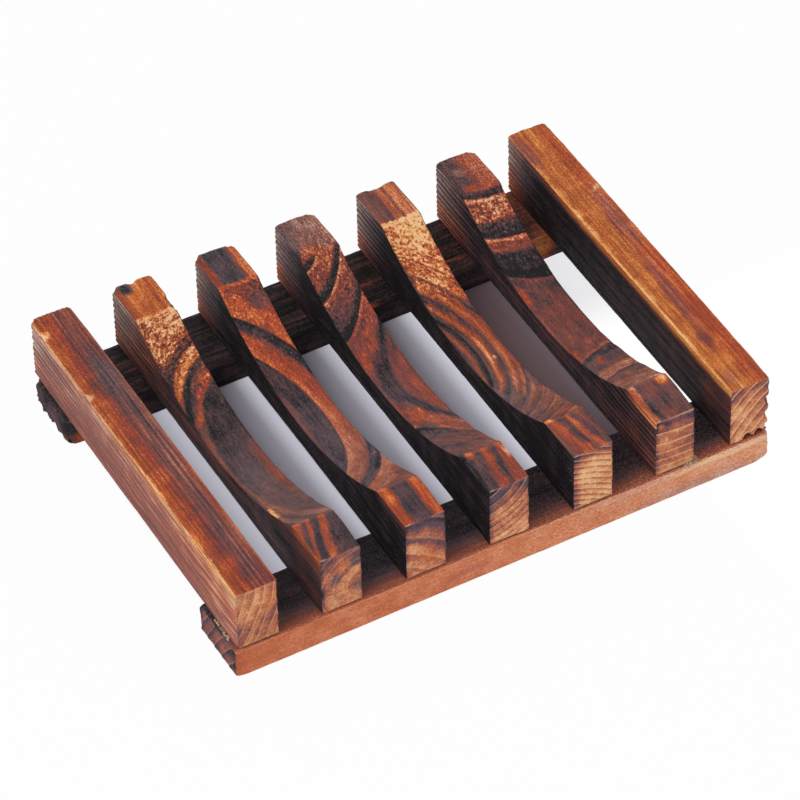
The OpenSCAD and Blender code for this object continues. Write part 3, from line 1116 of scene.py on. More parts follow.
# %% The third scooped stick
describe(
    SLATS, "scooped_slat_3", growth(-2.5, 24.9, 2.86, 0.054, 1.47, -0.010, -0.0027, waver=0.4),
    shape={"Back Round": 0.6, "Torn Relief": 0.12, "Torn From": 10.0},
    chips=[(9.2, 44.5, 14.7), (0.0, -33.0, 14.7)],
    # The top
    along=[(-33, 0.46), (-24, 0.44), (-20, 0.16), (-14, 0.05), (0, 0.08), (8, 0.14), (16, 0.18),
           (26, 0.1), (33, 0.04)],
    across=[(0, 0.08), (0.3, 0.05), (0.5, 0.0), (1, -0.03)],
    layers=[(-1.5, 0.42), (-1.32, 0.46), (-1.25, 0.86), (-1.12, 0.92), (-1.07, 0.12), (-1.02, 0.16),
            (-0.96, 0.42), (-0.6, 0.4), (-0.48, 0.42), (-0.4, 0.7), (-0.3, 0.9), (-0.16, 0.92),
            (-0.11, 0.12), (-0.05, 0.16), (0.0, 0.42), (0.3, 0.5), (0.6, 0.52), (0.75, 0.64),
            (0.9, 0.86), (1.0, 0.9), (1.05, 0.2), (1.1, 0.22), (1.16, 0.44), (1.3, 0.4), (1.7, 0.38),
            (1.84, 0.6), (1.94, 0.78), (2.1, 0.78), (2.22, 0.52), (2.9, 0.5)],
    calm=[(-33, 0.15), (-24, 0.3), (-20, 0.8), (-14, 1.0), (33, 1.0)], gold=[(0, 0.05), (1, 0.05)],
    ash=[(-33, 0.45), (-22, 0.35), (-12, 0.25), (0, 0.2), (12, 0.1), (33, 0.1)],
    grit=[(-44, 1.0), (-10, 1.0), (15, 1.5), (33, 1.6), (36, 2.6), (44, 2.6)],
    torn=[(-44, 0), (8, 0), (20, 0.3), (26, 0.6), (31, 0.6), (35, 0.5), (36.5, 0.0), (44, 0)],
    front_land=(0.014, [(-0.1, 0.92), (0.1, 0.9), (0.16, 0.7), (0.24, 0.74), (0.32, 0.74), (0.38, 0.58),
                        (0.43, 0.5), (0.53, 0.48), (0.58, 0.6), (0.62, 0.8), (0.68, 0.8), (0.74, 0.56),
                        (0.85, 0.48), (1.2, 0.48)], 0.0, 0.1),
    rear_land=(0.0, [(0, 0.75), (0.12, 0.6), (0.5, 0.5), (0.8, 0.5), (0.88, 0.38), (1, 0.36)], 0.1,
               0.55),
    ovals=[((0.15, 8, 1.0, 3.0, 0), (0.32, 0.2, 0), 0.7),
           ((0.3, -11, 1.6, 2.2, 35), (0.38, 0.1, 0), 0.75),
           ((0.85, -5, 1.8, 6, 0), (0.48, 0, 0.2), 0.6), ((0.2, -2, 2.0, 3.4, 0), (0.72, 0, 0.4), 0.6),
           ((0.2, -33, 1.0, 1.6, 0), (0.25, 0.3, 0), 0.8),
           ((0.95, -35.6, 0.6, 1.8, 0), (0.1, 0.3, 0.4), 0.9),
           ((0.35, 34, 2.6, 1.9, 0), (0.36, 0.2, 0), 0.8),
           ((0.7, 40.5, 1.4, 1.5, 0), (0.3, 0, 1.0), 0.6),
           ((0.45, 42, 1.0, 2.2, 0), (0.3, 0, 1.0), 0.5),
           ((0.4, -27, 0.7, 1.6, 20), (0.72, 0, 0.4), 0.6)],
    strokes=[("over", [(0.1, -14), (0.35, -16.5), (0.65, -20.5)], 0.9, (0.76, 0, 0.5), 0.8),
             ("over", [(0.15, -8), (0.4, -13), (0.75, -21.5)], 1.1, (0.36, 0, 0.1), 0.7)],
    creases=(0.2, 0.1),
    # The ends
    end=[(0, 0.22), (2, 0.28), (5, 0.44), (8, 0.48), (9, 0.56), (10.5, 0.78), (14.7, 0.8)],
    end_slant=0.35, end_rings=0.22, end_line=0.35, end_fine=2.0,
    end_marks=[((0.25, 12.6, 2.2, 1.5, -30), SLATE, 0.6), ((0.95, 13, 0.8, 1.6, 0), SLATE, 0.5),
               ((0.05, 9, 0.6, 3, 0), SLATE, 0.4)],
)

# %% [markdown]
# ### The fourth scooped stick
# The palest one: its far slope is torn and gold, and narrow rings run down from there.

# %% The fourth scooped stick
describe(
    SLATS, "scooped_slat_4", growth(-13.2, -35.9, 1.42, -0.016, 0.69, -0.006, 0.0003, waver=0.5),
    shape={"Back Round": 0.5, "Torn Relief": 0.16, "Torn From": 12.0, "Chip Depth": 0.6, "Chip Size": 2.2},
    chips=[(4.0, 45.2, 14.7), (5.0, 45.2, 14.7), (4.5, 45.2, 12.5)],
    # The wood in general
    line_width=0.2,
    # The top
    top=(0.14, 0.05, 0.6),
    along=[(-33, 0.46), (-20, 0.3), (-13, 0.02), (0, 0.03), (8, 0.1), (14, 0.06), (20, -0.1),
           (27, -0.0), (33, -0.02)],
    across=[(0, 0.12), (0.3, 0.08), (0.5, 0.0), (1, 0.0)],
    layers=[(-2.0, 0.82), (-1.75, 0.8), (-1.6, 0.5), (-1.45, 0.38), (-1.3, 0.56), (-1.15, 0.72),
            (-0.95, 0.72), (-0.8, 0.6), (-0.68, 0.34), (-0.55, 0.3), (-0.42, 0.5), (-0.1, 0.62),
            (0.06, 0.72), (0.14, 0.5), (0.33, 0.36), (0.45, 0.46), (0.6, 0.52), (0.75, 0.34),
            (0.88, 0.4), (0.98, 0.76), (1.1, 0.8), (1.2, 0.36), (1.8, 0.38), (2.1, 0.5), (2.2, 0.72),
            (2.3, 0.36), (3.4, 0.4)],
    calm=[(-33, 0.2), (-20, 0.5), (-13, 1.0), (18, 1.0), (24, 0.9), (27, 0.4), (33, 0.2)],
    gold=[(0, 0.35), (1, 0.35)],
    ash=[(-33, 0.2), (-26, 0.45), (-16, 0.45), (-8, 0.15), (0, 0.1), (10, 0.0), (33, 0.0)],
    torn=[(-44, 0), (10, 0), (15, 0.45), (20, 0.7), (25, 0.65), (27, 0.75), (33, 0.7), (33.6, 0),
          (44, 0)],
    front_land=(-0.027, [(-0.3, 0.68), (0.0, 0.68), (0.08, 0.62), (0.14, 0.52), (0.2, 0.6), (0.26, 0.5),
                         (0.34, 0.42), (0.4, 0.54), (0.45, 0.74), (0.53, 0.74), (0.58, 0.46),
                         (0.68, 0.4), (0.73, 0.6), (0.77, 0.76), (0.86, 0.72), (0.92, 0.52),
                         (0.97, 0.66), (1.3, 0.7)], 0.1, 0.1),
    rear_land=(0.0, [(0, 0.66), (0.3, 0.64), (0.42, 0.5), (0.52, 0.42), (0.58, 0.5), (0.62, 0.78),
                     (0.66, 0.36), (0.72, 0.28), (0.92, 0.26), (1, 0.6)], 0.3, 0.15),
    ovals=[((0.1, -32.2, 1.2, 1.1, 0), (0.2, 0.2, 0), 0.85),
           ((0.6, 30, 5.0, 2.6, 0), (0.14, 0.8, 0), 0.7), ((0.1, 32, 1.8, 1.6, 0), (0.4, 0.4, 0), 0.6),
           ((0.97, -14, 1.2, 4, 0), (0.74, 0, 0.6), 0.7),
           ((0.15, -16, 1.6, 6, -20), (0.6, 0.2, 0.8), 0.6),
           ((0.6, -3.4, 0.5, 0.7, 20), (0.1, 0.2, 0.8), 0.8),
           ((0.9, 12, 1.1, 2.2, 0), (0.74, 0, 0.3), 0.7), ((0.05, 20, 0.6, 8, 0), (0.8, 0, 0.2), 0.5)],
    creases=(0.15, 0.3),
    # The sides and the underside
    side_along=[(-44, 0.04), (10, 0.0), (18, 0.05), (26, 0.05), (34, 0.0), (40, -0.34), (44, -0.6)],
    side_level=[(-44, 0.08), (-30, 0.04), (28, 0.02), (34, 0.35), (44, 0.6)],
    # The ends
    end=[(0, 0.2), (9, 0.27), (12, 0.36), (13.5, 0.6), (14.7, 0.7)],
    end_across=[(0, 0.5), (0.12, 0.3), (0.22, 0.02), (0.93, 0.0), (1, 0.2)], end_slant=-0.15,
    end_rings=0.26, end_line=0.3, end_width=0.2, glue=0.5,
)

# %% [markdown]
# ### The fifth scooped stick
# Dark char bands cross its far slope, and the rest is an even reddish brown.

# %% The fifth scooped stick
describe(
    SLATS, "scooped_slat_5", growth(8.5, 59.9, 2.76, 0.085, 0.70, -0.011, 0.0005, waver=0.3),
    shape={"Back Round": 0.7, "Torn Relief": 0.1, "Torn From": 18.0},
    chips=[(9.2, 44.5, 14.7)],
    # The wood in general
    flecks=0.15,
    # The top
    along=[(-33, 0.34), (-25, 0.32), (-22, 0.06), (-16, -0.06), (-12, 0.0), (2, 0.03), (9, 0.14),
           (17, 0.16), (21, 0.14), (25, 0.03), (33, 0.02)],
    layers=[(-1.4, 0.4), (-1.2, 0.45), (-1.13, 0.84), (-1.02, 0.9), (-0.97, 0.12), (-0.93, 0.14),
            (-0.88, 0.36), (-0.45, 0.38), (-0.36, 0.78), (-0.1, 0.9), (0.0, 0.92), (0.05, 0.14),
            (0.09, 0.16), (0.14, 0.4), (0.33, 0.44), (0.42, 0.76), (0.76, 0.8), (0.84, 0.9),
            (1.0, 0.94), (1.04, 0.4), (1.1, 0.58), (1.7, 0.58)],
    calm=[(-33, 0.2), (-25, 0.3), (-22, 0.7), (-12, 1.0), (33, 1.0)], gold=[(0, 0.05), (1, 0.05)],
    ash=[(-33, 0.6), (-24, 0.5), (-12, 0.22), (0, 0.18), (16, 0.18), (20, 0.1), (33, 0.1)],
    grit=[(-44, 1.0), (-10, 1.0), (15, 1.5), (33, 1.6), (36, 2.6), (44, 2.6)],
    torn=[(-44, 0), (19, 0), (20, 0.4), (26, 0.5), (27, 0.9), (31, 0.9), (32, 0.2), (34, 0.2), (35, 0),
          (44, 0)],
    front_land=(0.0, [(0, 0.3), (0.14, 0.3), (0.18, 0.72), (0.24, 0.8), (0.3, 0.68), (0.42, 0.6),
                      (0.55, 0.64), (1, 0.66)], 0.1, 0.15),
    rear_land=(0.0, [(0, 0.78), (0.34, 0.76), (0.42, 0.56), (0.6, 0.46), (0.85, 0.42), (1, 0.34)], 0.1,
               0.15),
    ovals=[((0.8, -33.6, 1.6, 1.9, 0), (0.22, 0.3, 0), 0.95),
           ((0.4, -17, 0.7, 1.7, 10), (0.36, 0.1, 0), 0.85),
           ((0.05, -11, 1.2, 3, 0), (0.34, 0.2, 0), 0.7),
           ((0.08, 8.5, 1.0, 3.4, 0), (0.34, 0.1, 0), 0.75),
           ((0.3, 34, 1.6, 1.4, 0), (0.38, 0, 0), 0.7), ((0.3, 39.2, 1.2, 1.4, 0), (0.36, 0, 1.0), 0.7),
           ((0.6, -8.4, 0.6, 2.0, 20), (0.42, 0, 0.4), 0.6),
           ((0.35, -28, 2.4, 3, 0), (0.42, 0, 0.4), 0.5)],
    strokes=[("over", [(0.1, -25.2), (0.45, -23), (0.75, -22.4), (0.98, -22.6)], 0.35, (0.76, 0.3, 0.2),
              0.8),
             ("over", [(0.2, 38), (0.98, 39.5)], 0.3, (0.34, 0.3, 0.3), 0.4)],
    creases=(0.15, 0.05), edges=(0.0, 0.1),
    # The sides and the underside
    side=(0.06, 0.0, 0.1), side_up=[(0, -0.05), (3, -0.16), (5, -0.1), (9, 0.0), (14, 0.0)],
    side_along=[(-44, -0.18), (-30, -0.08), (-18, 0.0), (28, 0.0), (38, -0.3), (44, -0.45)],
    side_level=[(-44, 0.45), (-26, 0.3), (-16, 0.05), (24, 0.1), (34, 0.5), (44, 0.6)],
    side_ash=[(-44, 0.0), (32, 0.1), (44, 0.8)],
    rim=([(-44, 1.0), (-36, 0.9), (-31, 0.0), (44, 0.0)], (0.34, 0.2, 0.0)),
    # The ends
    end=[(0, 0.2), (2, 0.3), (5, 0.42), (10, 0.5), (12, 0.62), (13, 0.74), (14.7, 0.78)],
    end_rings=0.14, end_line=0.6, end_late=(0.15, 0.35),
    end_marks=[((0.17, 13.2, 0.9, 0.9, 0), ORANGE, 0.8), ((0.98, 6, 0.5, 5, 0), SLATE, 0.5)], glue=0.7,
)

# %% [markdown]
# ### The right outer stick
# Gold along its left edge and orange along its right one, with a thin dark seam between
# them, and a black side towards the dish.

# %% The right outer stick
describe(
    SLATS, "right_outer_slat", growth(28, -16, 2.2, waver=0.8),
    shape={"Back Round": 0.6},
    chips=[(9.2, -44.0, 1.0), (9.2, -44.0, 4.6), (4.5, -44.0, 0.0), (9.2, -44.0, 8.6),
           (7.0, -44.0, 0.0)],
    # The wood in general
    flecks=0.1,
    # The top
    top=(0.03, 0.0, 0.5), along=[(-44, 0.0), (0, 0.02), (44, 0.03)],
    across=[(0, 0.16), (0.07, 0.2), (0.12, 0.34), (0.2, 0.36), (0.3, 0.34), (0.55, 0.32), (0.68, 0.36),
            (0.9, 0.34), (1, 0.3)],
    gold=[(0, 1.0), (0.5, 0.9), (0.62, 0.4), (1, 0.25)],
    ovals=[((0.8, -16, 3.2, 24, 0), (0.42, 0.0, 0), 0.6),
           ((0.42, -28, 1.4, 2.4, 0), (0.56, 0, 0.2), 0.85),
           ((0.54, -13, 1.3, 13, 3), (0.54, 0.0, 0.35), 0.75),
           ((0.75, 12, 1.4, 10, 0), (0.44, 0.0, 0.45), 0.75),
           ((0.12, 37, 1.4, 7, 0), (0.54, 0.4, 0.3), 0.9),
           ((0.3, -40, 1.5, 2.4, 0), (0.36, 0.8, 0.35), 0.6),
           ((0.85, 21, 0.8, 1.0, 40), (0.22, 0.4, 0.4), 0.7)],
    strokes=[("along", [(0, 0.6), (14, 0.6)], 0.3, (0.56, 0.2, 0.2), 0.8),
             ("along", [(-2, 0.2), (20, 0.2), (36, 0.32), (44, 0.36)], 0.35, (0.42, 0.6, 0), 0.7),
             ("over", [(0.7, 20.5), (0.95, 21.5)], 0.2, (0.12, 0.4, 0.4), 0.7)],
    creases=(0.0, 0.0), edges=(0.12, 0.12), brow=0.2,
    # The sides and the underside
    low_side=(0.96, 0.3, 0.1), high_side=(0.45, 0.3, 0.2),
    side_along=[(-44, -0.16), (-30, -0.06), (30, 0.04), (36, -0.1), (40, -0.4), (44, -0.6)],
    side_marks=[((8.5, -36, 1.4, 6, 0), (0.7, 0.1, 0), 0.6),
                ((2.4, -5, 0.6, 10, 0), (0.76, 0.0, 0), 0.5)],
    rim=([(-44, 1.0), (18, 1.0), (30, 0.5), (38, 0.1), (44, 0.0)], (0.26, 0.6, 0.0)),
    # The ends
    end=[(0, 0.2), (4, 0.3), (7, 0.4), (11, 0.55), (14.7, 0.62)],
    end_across=[(0, 0.15), (0.1, 0.0), (1, 0.0)], end_slant=-0.5, end_rings=0.15, end_line=0.75,
    end_marks=[((0.1, 12, 1.0, 1.6, 0), SLATE, 0.4), ((0.92, 10, 1.0, 3, 0), SLATE, 0.3)],
)

# %% [markdown]
# ## Growing the sticks
# The tree runs as a modifier on an object that holds nothing but the loose points. Its
# inputs are set first, by the identifiers of their sockets. Then the evaluated result
# becomes a plain mesh, because a plain mesh is what the frame checks and what is kept.

# %% Grow a piece with the stick tree


def grow(name, tree, settings, points=()):
    """Runs a geometry tree on a new object and keeps the result as a plain mesh."""
    base = bpy.data.meshes.new(name + "_points")
    base.from_pydata(points, [], [])
    piece = bpy.data.objects.new(name, base)
    bpy.context.collection.objects.link(piece)
    modifier = piece.modifiers.new("make", "NODES")
    modifier.node_group = tree.node_tree
    for item in tree.node_tree.interface.items_tree:
        if item.in_out == "INPUT" and item.name in settings:
            modifier[item.identifier] = settings[item.name]
    depsgraph = bpy.context.evaluated_depsgraph_get()
    evaluated = piece.evaluated_get(depsgraph)
    mesh = bpy.data.meshes.new_from_object(
        evaluated, preserve_all_data_layers=True, depsgraph=depsgraph
    )
    piece.modifiers.clear()
    piece.data = mesh
    mesh.name = name
    print(name, "has", sum(len(p.vertices) - 2 for p in mesh.polygons), "triangles")
    return piece


# %% Make the slats
SCOOP_DEPTH = 9.4
HALF_CHORD = 32.95
SCOOP_RADIUS = (HALF_CHORD ** 2 + SCOOP_DEPTH ** 2) / (2 * SCOOP_DEPTH)
full_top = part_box("left_outer_slat")[1].z / MM
for node, (shape, chips, look) in SLATS.items():
    low, high = (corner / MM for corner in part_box(node))
    finish = charred_wood(node + "_wood", look, high.x - low.x)
    settings = {"Width": high.x - low.x, "Height": full_top - low.z, "Finish": finish}
    settings.update({"Front": low.y, "Back": high.y, "Corner": (low.x * MM, 0.0, low.z * MM)})
    if node.startswith("scooped"):
        settings.update({"Scoop Depth": SCOOP_DEPTH, "Scoop Radius": SCOOP_RADIUS})
    slat = grow(node.replace("slat", "stick"), stick_tree, {**settings, **shape}, chips)
    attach(slat, "root")
    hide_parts(node)

# %% [markdown]
# ## The rails
# The rails are wider, flatter sticks that lie the other way. The same tree grows them with
# the grain along their length, and hollows the underside where each brad was driven in.
# Their sawn ends are chipped and drop a little, and the front one is the smoother of the two.

# %% The two rails
describe(
    RAILS, "front_rail", growth(34, -14, 2.6, waver=1.6),
    shape={"Front Round": 0.5},
    chips=[(15.6, 61.0, -0.4), (12.0, 61.4, -0.4)],
    # The wood in general
    fibre=0.25, fine=0.35, slow=0.2, flecks=0.1,
    # The top
    top=(0.03, 0.0, 0.9), along=[(-60, 0.0), (60, 0.0)],
    across=[(0, 0.92), (0.6, 0.88), (0.8, 0.62), (0.92, 0.44), (1, 0.36)], gold=[(0, 0.4), (1, 0.3)],
    ash=[(-60, 0.3), (60, 0.35)], creases=(0.0, 0.0), edges=(0.05, 0.08), brow=0.0,
    # The sides and the underside
    side=(0.0, 0.0, 0.35), low_side=(0.9, 0.1, 0.2), high_side=(0.21, 0.0, 0.15),
    under=(0.55, 0.4, 0.2),
    # Painted sheen: the front face is lighter and greyer towards the right end.
    side_along=[(-60, 0.1), (-56, 0.02), (-10, 0.0), (10, -0.05), (40, -0.06), (60, -0.12)],
    side_level=[(-60, 0.0), (60, 0.0)], side_ash=[(-60, 0.0), (10, 0.0), (24, 0.35), (60, 0.4)],
    side_streaks=0.0, side_fibre=0.1,
    high_marks=[((5.9, 47, 0.7, 13, 0), (0.1, 0.8, 0.0), 0.95),
                ((1.2, 44, 1.6, 16, 0), (0.3, 0.0, 0.9), 0.5),
                ((3.0, -9, 1.5, 5, 0), (0.3, 0.0, 0.4), 0.5),
                ((4.5, 26, 1.2, 4, 0), (0.3, 0.0, 0.3), 0.3)],
    # The ends
    end=[(0, 0.74), (6.8, 0.8)], end_line=0.15,
)
describe(
    RAILS, "rear_rail", growth(-20, -14, 2.6, waver=1.6),
    chips=[(15.4, -60.4, 0.4), (12.5, -60.2, 0.0), (9.0, -60.0, 0.6), (5.5, -60.0, 0.0),
           (2.0, -60.0, 1.2), (0.0, -60.0, 4.0), (15.4, -60.6, 5.0), (0.0, -60.0, 6.6),
           (7.0, -60.4, 5.2)],
    # The wood in general
    slow=0.5,
    # The top
    top=(0.04, 0.0, 0.9), along=[(-60, 0.95), (30, 0.93), (42, 0.8), (48, 0.66), (54, 0.55), (60, 0.6)],
    gold=[(0, 0.6), (1, 0.6)], streaks=[(0, 1.0), (1, 1.0)],
    ovals=[((0.85, -46, 1.2, 4.0, 0), (0.66, 0.8, 0.0), 0.6),
           ((0.64, 9.0, 0.5, 3.5, 0), (0.48, 0.9, 0), 0.75),
           ((0.82, 29, 0.5, 3.5, 0), (0.46, 0.9, 0), 0.75),
           ((0.7, 27, 0.4, 2.6, 0), (0.5, 0.9, 0), 0.7)],
    creases=(0.0, 0.0), brow=0.0,
    # The sides and the underside
    low_side=(0.8, 0.3, 0.2), high_side=(0.92, 0.2, 0.3), under=(0.6, 0.4, 0.2),
    side_along=[(-60, 0.0), (60, 0.0)], side_level=[(-60, 0.0), (60, 0.0)],
    side_ash=[(-60, 0.0), (60, 0.0)],
    high_marks=[((1.6, -56.6, 2.2, 2.6, 0), (0.36, 0.3, 0), 0.95),
                ((4.6, -46, 2.6, 4.5, 0), (0.5, 0.9, 0), 0.8),
                ((6.0, 9.5, 0.7, 4.0, 0), (0.3, 0.9, 0), 0.85),
                # Painted light: in the last gap on the right the front face is painted pale orange, where
                # the slats shade it.
                ((4.0, 48, 5.0, 6.0, 0), (0.2, 0.6, 0), 0.95)],
    # The ends
    end=[(0, 0.72), (1.5, 0.9), (7.1, 1.0)], end_rings=0.05, end_line=0.0,
    end_marks=[((0.9, 1.2, 1.6, 1.2, 0), ORANGE, 0.6)],
)

# %% Make the rails
# A brad stands in the middle of the rail's depth, under the middle of a slat.
BRAD_ACROSS = 7.7
RAIL_SHAPE = {
    "Turn": -math.pi / 2, "Points Across": 44, "Points Along": 320, "Points Up": 26,
    "Edge Radius": 0.4, "Foot Radius": 0.35, "Front Round": 1.2, "Back Round": 1.2, "End Drop": 1.4,
    "Side Relief": 0.02, "Top Relief": 0.04, "Saw Marks": 0.0, "Tip Marks": 0.0,
    "Chip Depth": 1.1, "Chip Size": 2.2, "Brad Dimple": 0.45,
}
slat_boxes = [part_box(node) for node in SLATS]
brads = [(BRAD_ACROSS, (low.x + high.x) / 2 / MM, BRAD_LEVEL) for low, high in slat_boxes]
for node, (shape, chips, look) in RAILS.items():
    low, high = (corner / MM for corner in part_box(node))
    finish = charred_wood(node + "_wood", look, high.y - low.y)
    settings = {"Width": high.y - low.y, "Height": high.z - low.z, "Finish": finish}
    settings.update({"Front": low.x, "Back": high.x, "Corner": (0.0, high.y * MM, low.z * MM)})
    settings.update({**RAIL_SHAPE, **shape})
    rail = grow(node.replace("rail", "bearer"), stick_tree, settings, brads + chips)
    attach(rail, "root")
    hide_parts(node)

# %% [markdown]
# ## The brads
# The brads keep their measured shape. Their heads show in the hollows under the rails, as
# drawn steel with fine turning marks and a little grime.

# %% Steel for the brads
GRIME_SCALE = 900.0
TURNING_STRETCH = (3000.0, 3000.0, 9000.0)
MARK_DEPTH = 0.00002


def brad_steel():
    material, tree = new_material("brad_steel")
    where = tree.node("ShaderNodeTexCoord", output="Object")
    grime = tree.smooth(tree.noise(where, GRIME_SCALE, 4.0, 0.6), 0.45, 0.7)
    marks = tree.noise(tree.stretch(where, TURNING_STRETCH), 1.0, 2.0)
    colour = tree.tint(grime, paint(176, 174, 170), paint(96, 84, 74))
    roughness = 0.28 + grime * 0.3 + (marks - 0.5) * 0.2
    inputs = {"Height": marks, "Distance": MARK_DEPTH, "Strength": 1.0}
    normal = tree.node("ShaderNodeBump", inputs=inputs)
    inputs = {"Base Color": colour, "Roughness": roughness, "Metallic": 1.0, "Normal": normal}
    shader = tree.node("ShaderNodeBsdfPrincipled", inputs=inputs)
    tree.close("ShaderNodeOutputMaterial", "Surface", shader)
    return material


steel = brad_steel()
for node in ("front_rail_brads", "rear_rail_brads"):
    dressed_brads = bpy.data.objects[node]
    dressed_brads.data.materials.clear()
    dressed_brads.data.materials.append(steel)
print("brads dressed")

# %% [markdown]
# ## Beads of glue
# A little clear glue was squeezed out below a few feet and dried in lumpy beads. A short row
# of small balls, each with its own size and place from a fixed seed, makes such a bead.

# %% The glue's tree and finish
# The sizes are mm. A row runs from Start to Finish At, and Finish is its material.
BEADS = [
    ("Count", COUNT, 9), ("Start", POINT, ORIGIN), ("Finish At", POINT, (0.0, 4.0, 0.0)),
    ("Ball", NUMBER, 0.35), ("Jitter", NUMBER, 0.18), ("Finish", FINISH, None),
]
PLACE_SEED = 5
SIZE_SEED = 11


def build_bead_tree():
    tree, given = new_geometry_tree("glue_beads", BEADS)
    inputs = {"Count": given["Count"], "Start Location": given["Start"], "Offset": given["Finish At"]}
    row = tree.node("GeometryNodeMeshLine", {"mode": "END_POINTS"}, inputs)
    inputs = {"Min": (-1.0, -1.0, -0.3), "Max": (1.0, 1.0, 0.3), "Seed": PLACE_SEED}
    offset = tree.scale(tree.node("FunctionNodeRandomValue", VECTOR, inputs), given["Jitter"])
    row = tree.node("GeometryNodeSetPosition", inputs={"Geometry": row, "Offset": offset})
    ball = tree.node("GeometryNodeMeshIcoSphere", inputs={"Radius": given["Ball"], "Subdivisions": 3})
    inputs = {"Min": (0.6, 0.9, 0.5), "Max": (1.1, 1.9, 0.9), "Seed": SIZE_SEED}
    spread = tree.node("FunctionNodeRandomValue", VECTOR, inputs)
    inputs = {"Points": row, "Instance": ball, "Scale": spread}
    balls = tree.node("GeometryNodeInstanceOnPoints", inputs=inputs)
    balls = tree.node("GeometryNodeRealizeInstances", inputs={"Geometry": balls})
    return finished(tree, balls, given)


def dried_glue():
    material, tree = new_material("dried_glue")
    where = tree.node("ShaderNodeTexCoord", output="Object")
    cloud = tree.smooth(tree.noise(where, 1400.0, 3.0, 0.6), 0.35, 0.65)
    colour = tree.tint(cloud, paint(128, 104, 80), paint(204, 184, 156))
    inputs = {"Base Color": colour, "Roughness": 0.3 + cloud * 0.2}
    shader = tree.node("ShaderNodeBsdfPrincipled", inputs=inputs)
    tree.close("ShaderNodeOutputMaterial", "Surface", shader)
    return material


# %% Make the glue beads
# Each row has its count, its two ends and the radius of its balls.
bead_tree = build_bead_tree()
glue = dried_glue()
BEAD_ROWS = {
    "glue_bead_right": (9, (43.0, -43.6, 7.15), (43.0, -39.6, 7.15), 0.42),
    "glue_bead_front": (7, (40.4, -44.1, 7.1), (42.6, -44.1, 7.1), 0.3),
    "glue_bead_left": (9, (-59.2, -40.5, 7.1), (-59.2, -35.0, 7.1), 0.34),
}
for name, (count, start, stop, ball) in BEAD_ROWS.items():
    settings = {"Count": count, "Start": start, "Finish At": stop, "Ball": ball, "Finish": glue}
    bead = grow(name, bead_tree, settings)
    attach(bead, "root")

# %% [markdown]
# ## The floor
# The photograph was taken on white paper, which turns a little grey under the dish, where
# the light from all round doesn't reach. Two mixes do this: what the camera sees beyond the
# dish is a plain white glow, and the paper under the dish has a painted shade, a greyer
# colour, and takes the rendered shadows too. Pairs of a place along x in mm and a share of
# glow paint light into each gap, in lighter stripes where light would fall through, and on
# the right, from 45 mm, the glow paints the shade out.

# %% The paper under the dish
FLOOR_HALF = 3.0
# Half the length and depth of the dish's shade on the paper, in metres. The painted shade fills it and
# fades out 8 mm round it.
SHADE_HALF_LONG = 0.050
SHADE_HALF_DEEP = 0.038
WHITE = (1.0, 1.0, 1.0, 1.0)
# Painted light in the gaps: at places along x in mm, the share of white glow that the camera sees on the
# paper under the dish.
PAINTED_GAP_LIGHT = [
    (-50, 0.4), (-43, 0.2), (-38, 0.48), (-36, 0.1), (-27, 0.0), (-23, 0.06), (-19.5, 0.48), (-17, 0.0),
    (-7, 0.0), (-4, 0.06), (-0.5, 0.46), (2, 0.0), (12, 0.0), (15, 0.12), (18.5, 0.58), (21, 0.0),
    (36, 0.0), (38, 0.02),
]


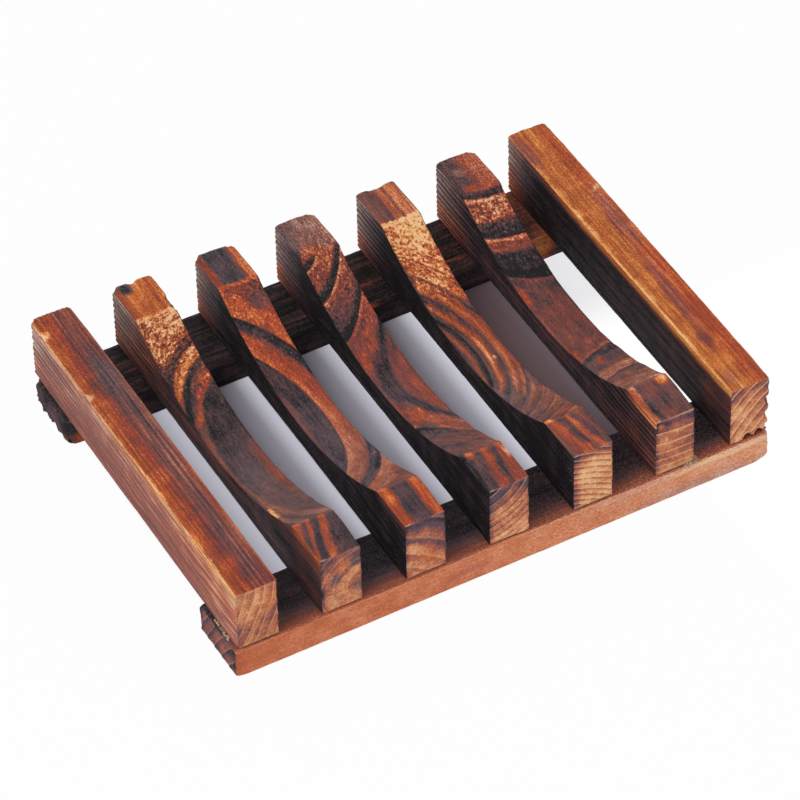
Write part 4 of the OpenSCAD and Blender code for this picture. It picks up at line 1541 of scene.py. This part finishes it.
def floor_paper():
    material, tree = new_material("floor_paper")
    rays = tree.node("ShaderNodeLightPath", output="Is Camera Ray")
    seen = rays.math("MAXIMUM", rays.part("Is Glossy Ray"))
    seen = seen.math("MAXIMUM", rays.part("Is Transmission Ray"))
    x, y, _ = tree.split(tree.node("ShaderNodeTexCoord", output="Object"))
    # How far a place lies outside the shade, then the painted shade: a lilac grey paper under the dish,
    # darker and rosier right of 30 mm, fading out from 34 mm to 48 mm.
    beside = (x.math("ABSOLUTE") - SHADE_HALF_LONG).math("MAXIMUM", 0.0)
    before = (y.math("ABSOLUTE") - SHADE_HALF_DEEP).math("MAXIMUM", 0.0)
    off = (beside * beside + before * before).math("SQRT")
    painted_shade_cover = tree.smooth(off, 0.008, 0.0) * tree.smooth(x, 0.048, 0.034)
    painted_shade_colour = tree.tint(tree.smooth(x, 0.026, 0.030), paint(186, 180, 194), paint(140, 116, 122))
    near = tree.tint(painted_shade_cover, paint(240, 238, 242), painted_shade_colour)
    colour = tree.tint(seen, paint(222, 222, 226), near)
    lit = tree.node("ShaderNodeBsdfDiffuse", inputs={"Color": colour})
    # Where the camera sees a glow: outside the shade, and on the right, but for some haze. On the right,
    # from 45 mm, the glow is painted light over the shade under the dish. In the shade the glow is a
    # little lilac.
    haze = tree.smooth(y, 0.002, 0.016) * 0.25
    beyond = tree.smooth(x, 0.041, 0.045) * (1 - haze)
    clear = (tree.smooth(off, 0.0, 0.007) * 0.97).math("MAXIMUM", beyond)
    cool = tree.tint(clear, paint(240, 240, 252), WHITE)
    glow = tree.node("ShaderNodeEmission", inputs={"Color": cool, "Strength": 1.0})
    fade = seen * tree.profile(x / MM, PAINTED_GAP_LIGHT).math("MAXIMUM", clear)
    shader = tree.node("ShaderNodeMixShader", inputs={0: fade, 1: lit, 2: glow})
    tree.close("ShaderNodeOutputMaterial", "Surface", shader)
    return material


floor_mesh = bpy.data.meshes.new("floor")
corners = [(-1, -1), (1, -1), (1, 1), (-1, 1)]
floor_mesh.from_pydata([(x * FLOOR_HALF, y * FLOOR_HALF, 0.0) for x, y in corners], [], [(0, 1, 2, 3)])
floor_mesh.materials.append(floor_paper())
floor = bpy.data.objects.new("floor", floor_mesh)
bpy.context.collection.objects.link(floor)
print("floor laid")

# %% [markdown]
# ## The light
# The light was soft and came from the left. One large soft lamp from there, a weaker one
# from the front and an even white world do the same, with soft edges to every shadow. They
# are set so that a colour on a level face renders about as it is written.

# %% Set the lamps and the world
WORLD_LIGHT = 0.5


def soft_lamp(name, spot, size, power):
    lamp = bpy.data.lights.new(name, "AREA")
    lamp.shape = "DISK"
    lamp.size = size
    lamp.energy = power
    holder = bpy.data.objects.new(name, lamp)
    holder.location = spot
    holder.rotation_euler = Vector(spot).to_track_quat("Z", "Y").to_euler()
    bpy.context.collection.objects.link(holder)


soft_lamp("key_lamp", (-0.75, -0.15, 1.25), 0.8, 8.5)
soft_lamp("fill_lamp", (0.6, -1.15, 0.7), 1.0, 4.5)
world = bpy.data.worlds.new("soft_white")
bpy.context.scene.world = world
world.use_nodes = True
world.node_tree.nodes.clear()
sky = Tree(world.node_tree)
rays = sky.node("ShaderNodeLightPath", output="Is Camera Ray")
seen = rays.math("MAXIMUM", rays.part("Is Transmission Ray"))
strength = WORLD_LIGHT + seen * (1 - WORLD_LIGHT)
sky_light = sky.node("ShaderNodeBackground", inputs={"Color": WHITE, "Strength": strength})
sky.close("ShaderNodeOutputWorld", "Surface", sky_light)
bpy.context.scene.view_settings.view_transform = "Standard"
print("stage set")

# %% [markdown]
# ## Sizes
# The dressed dish should fill the measured box. Only the glue passes it by more than a
# tenth of a millimetre, because its beads bulge out in front of the rail.
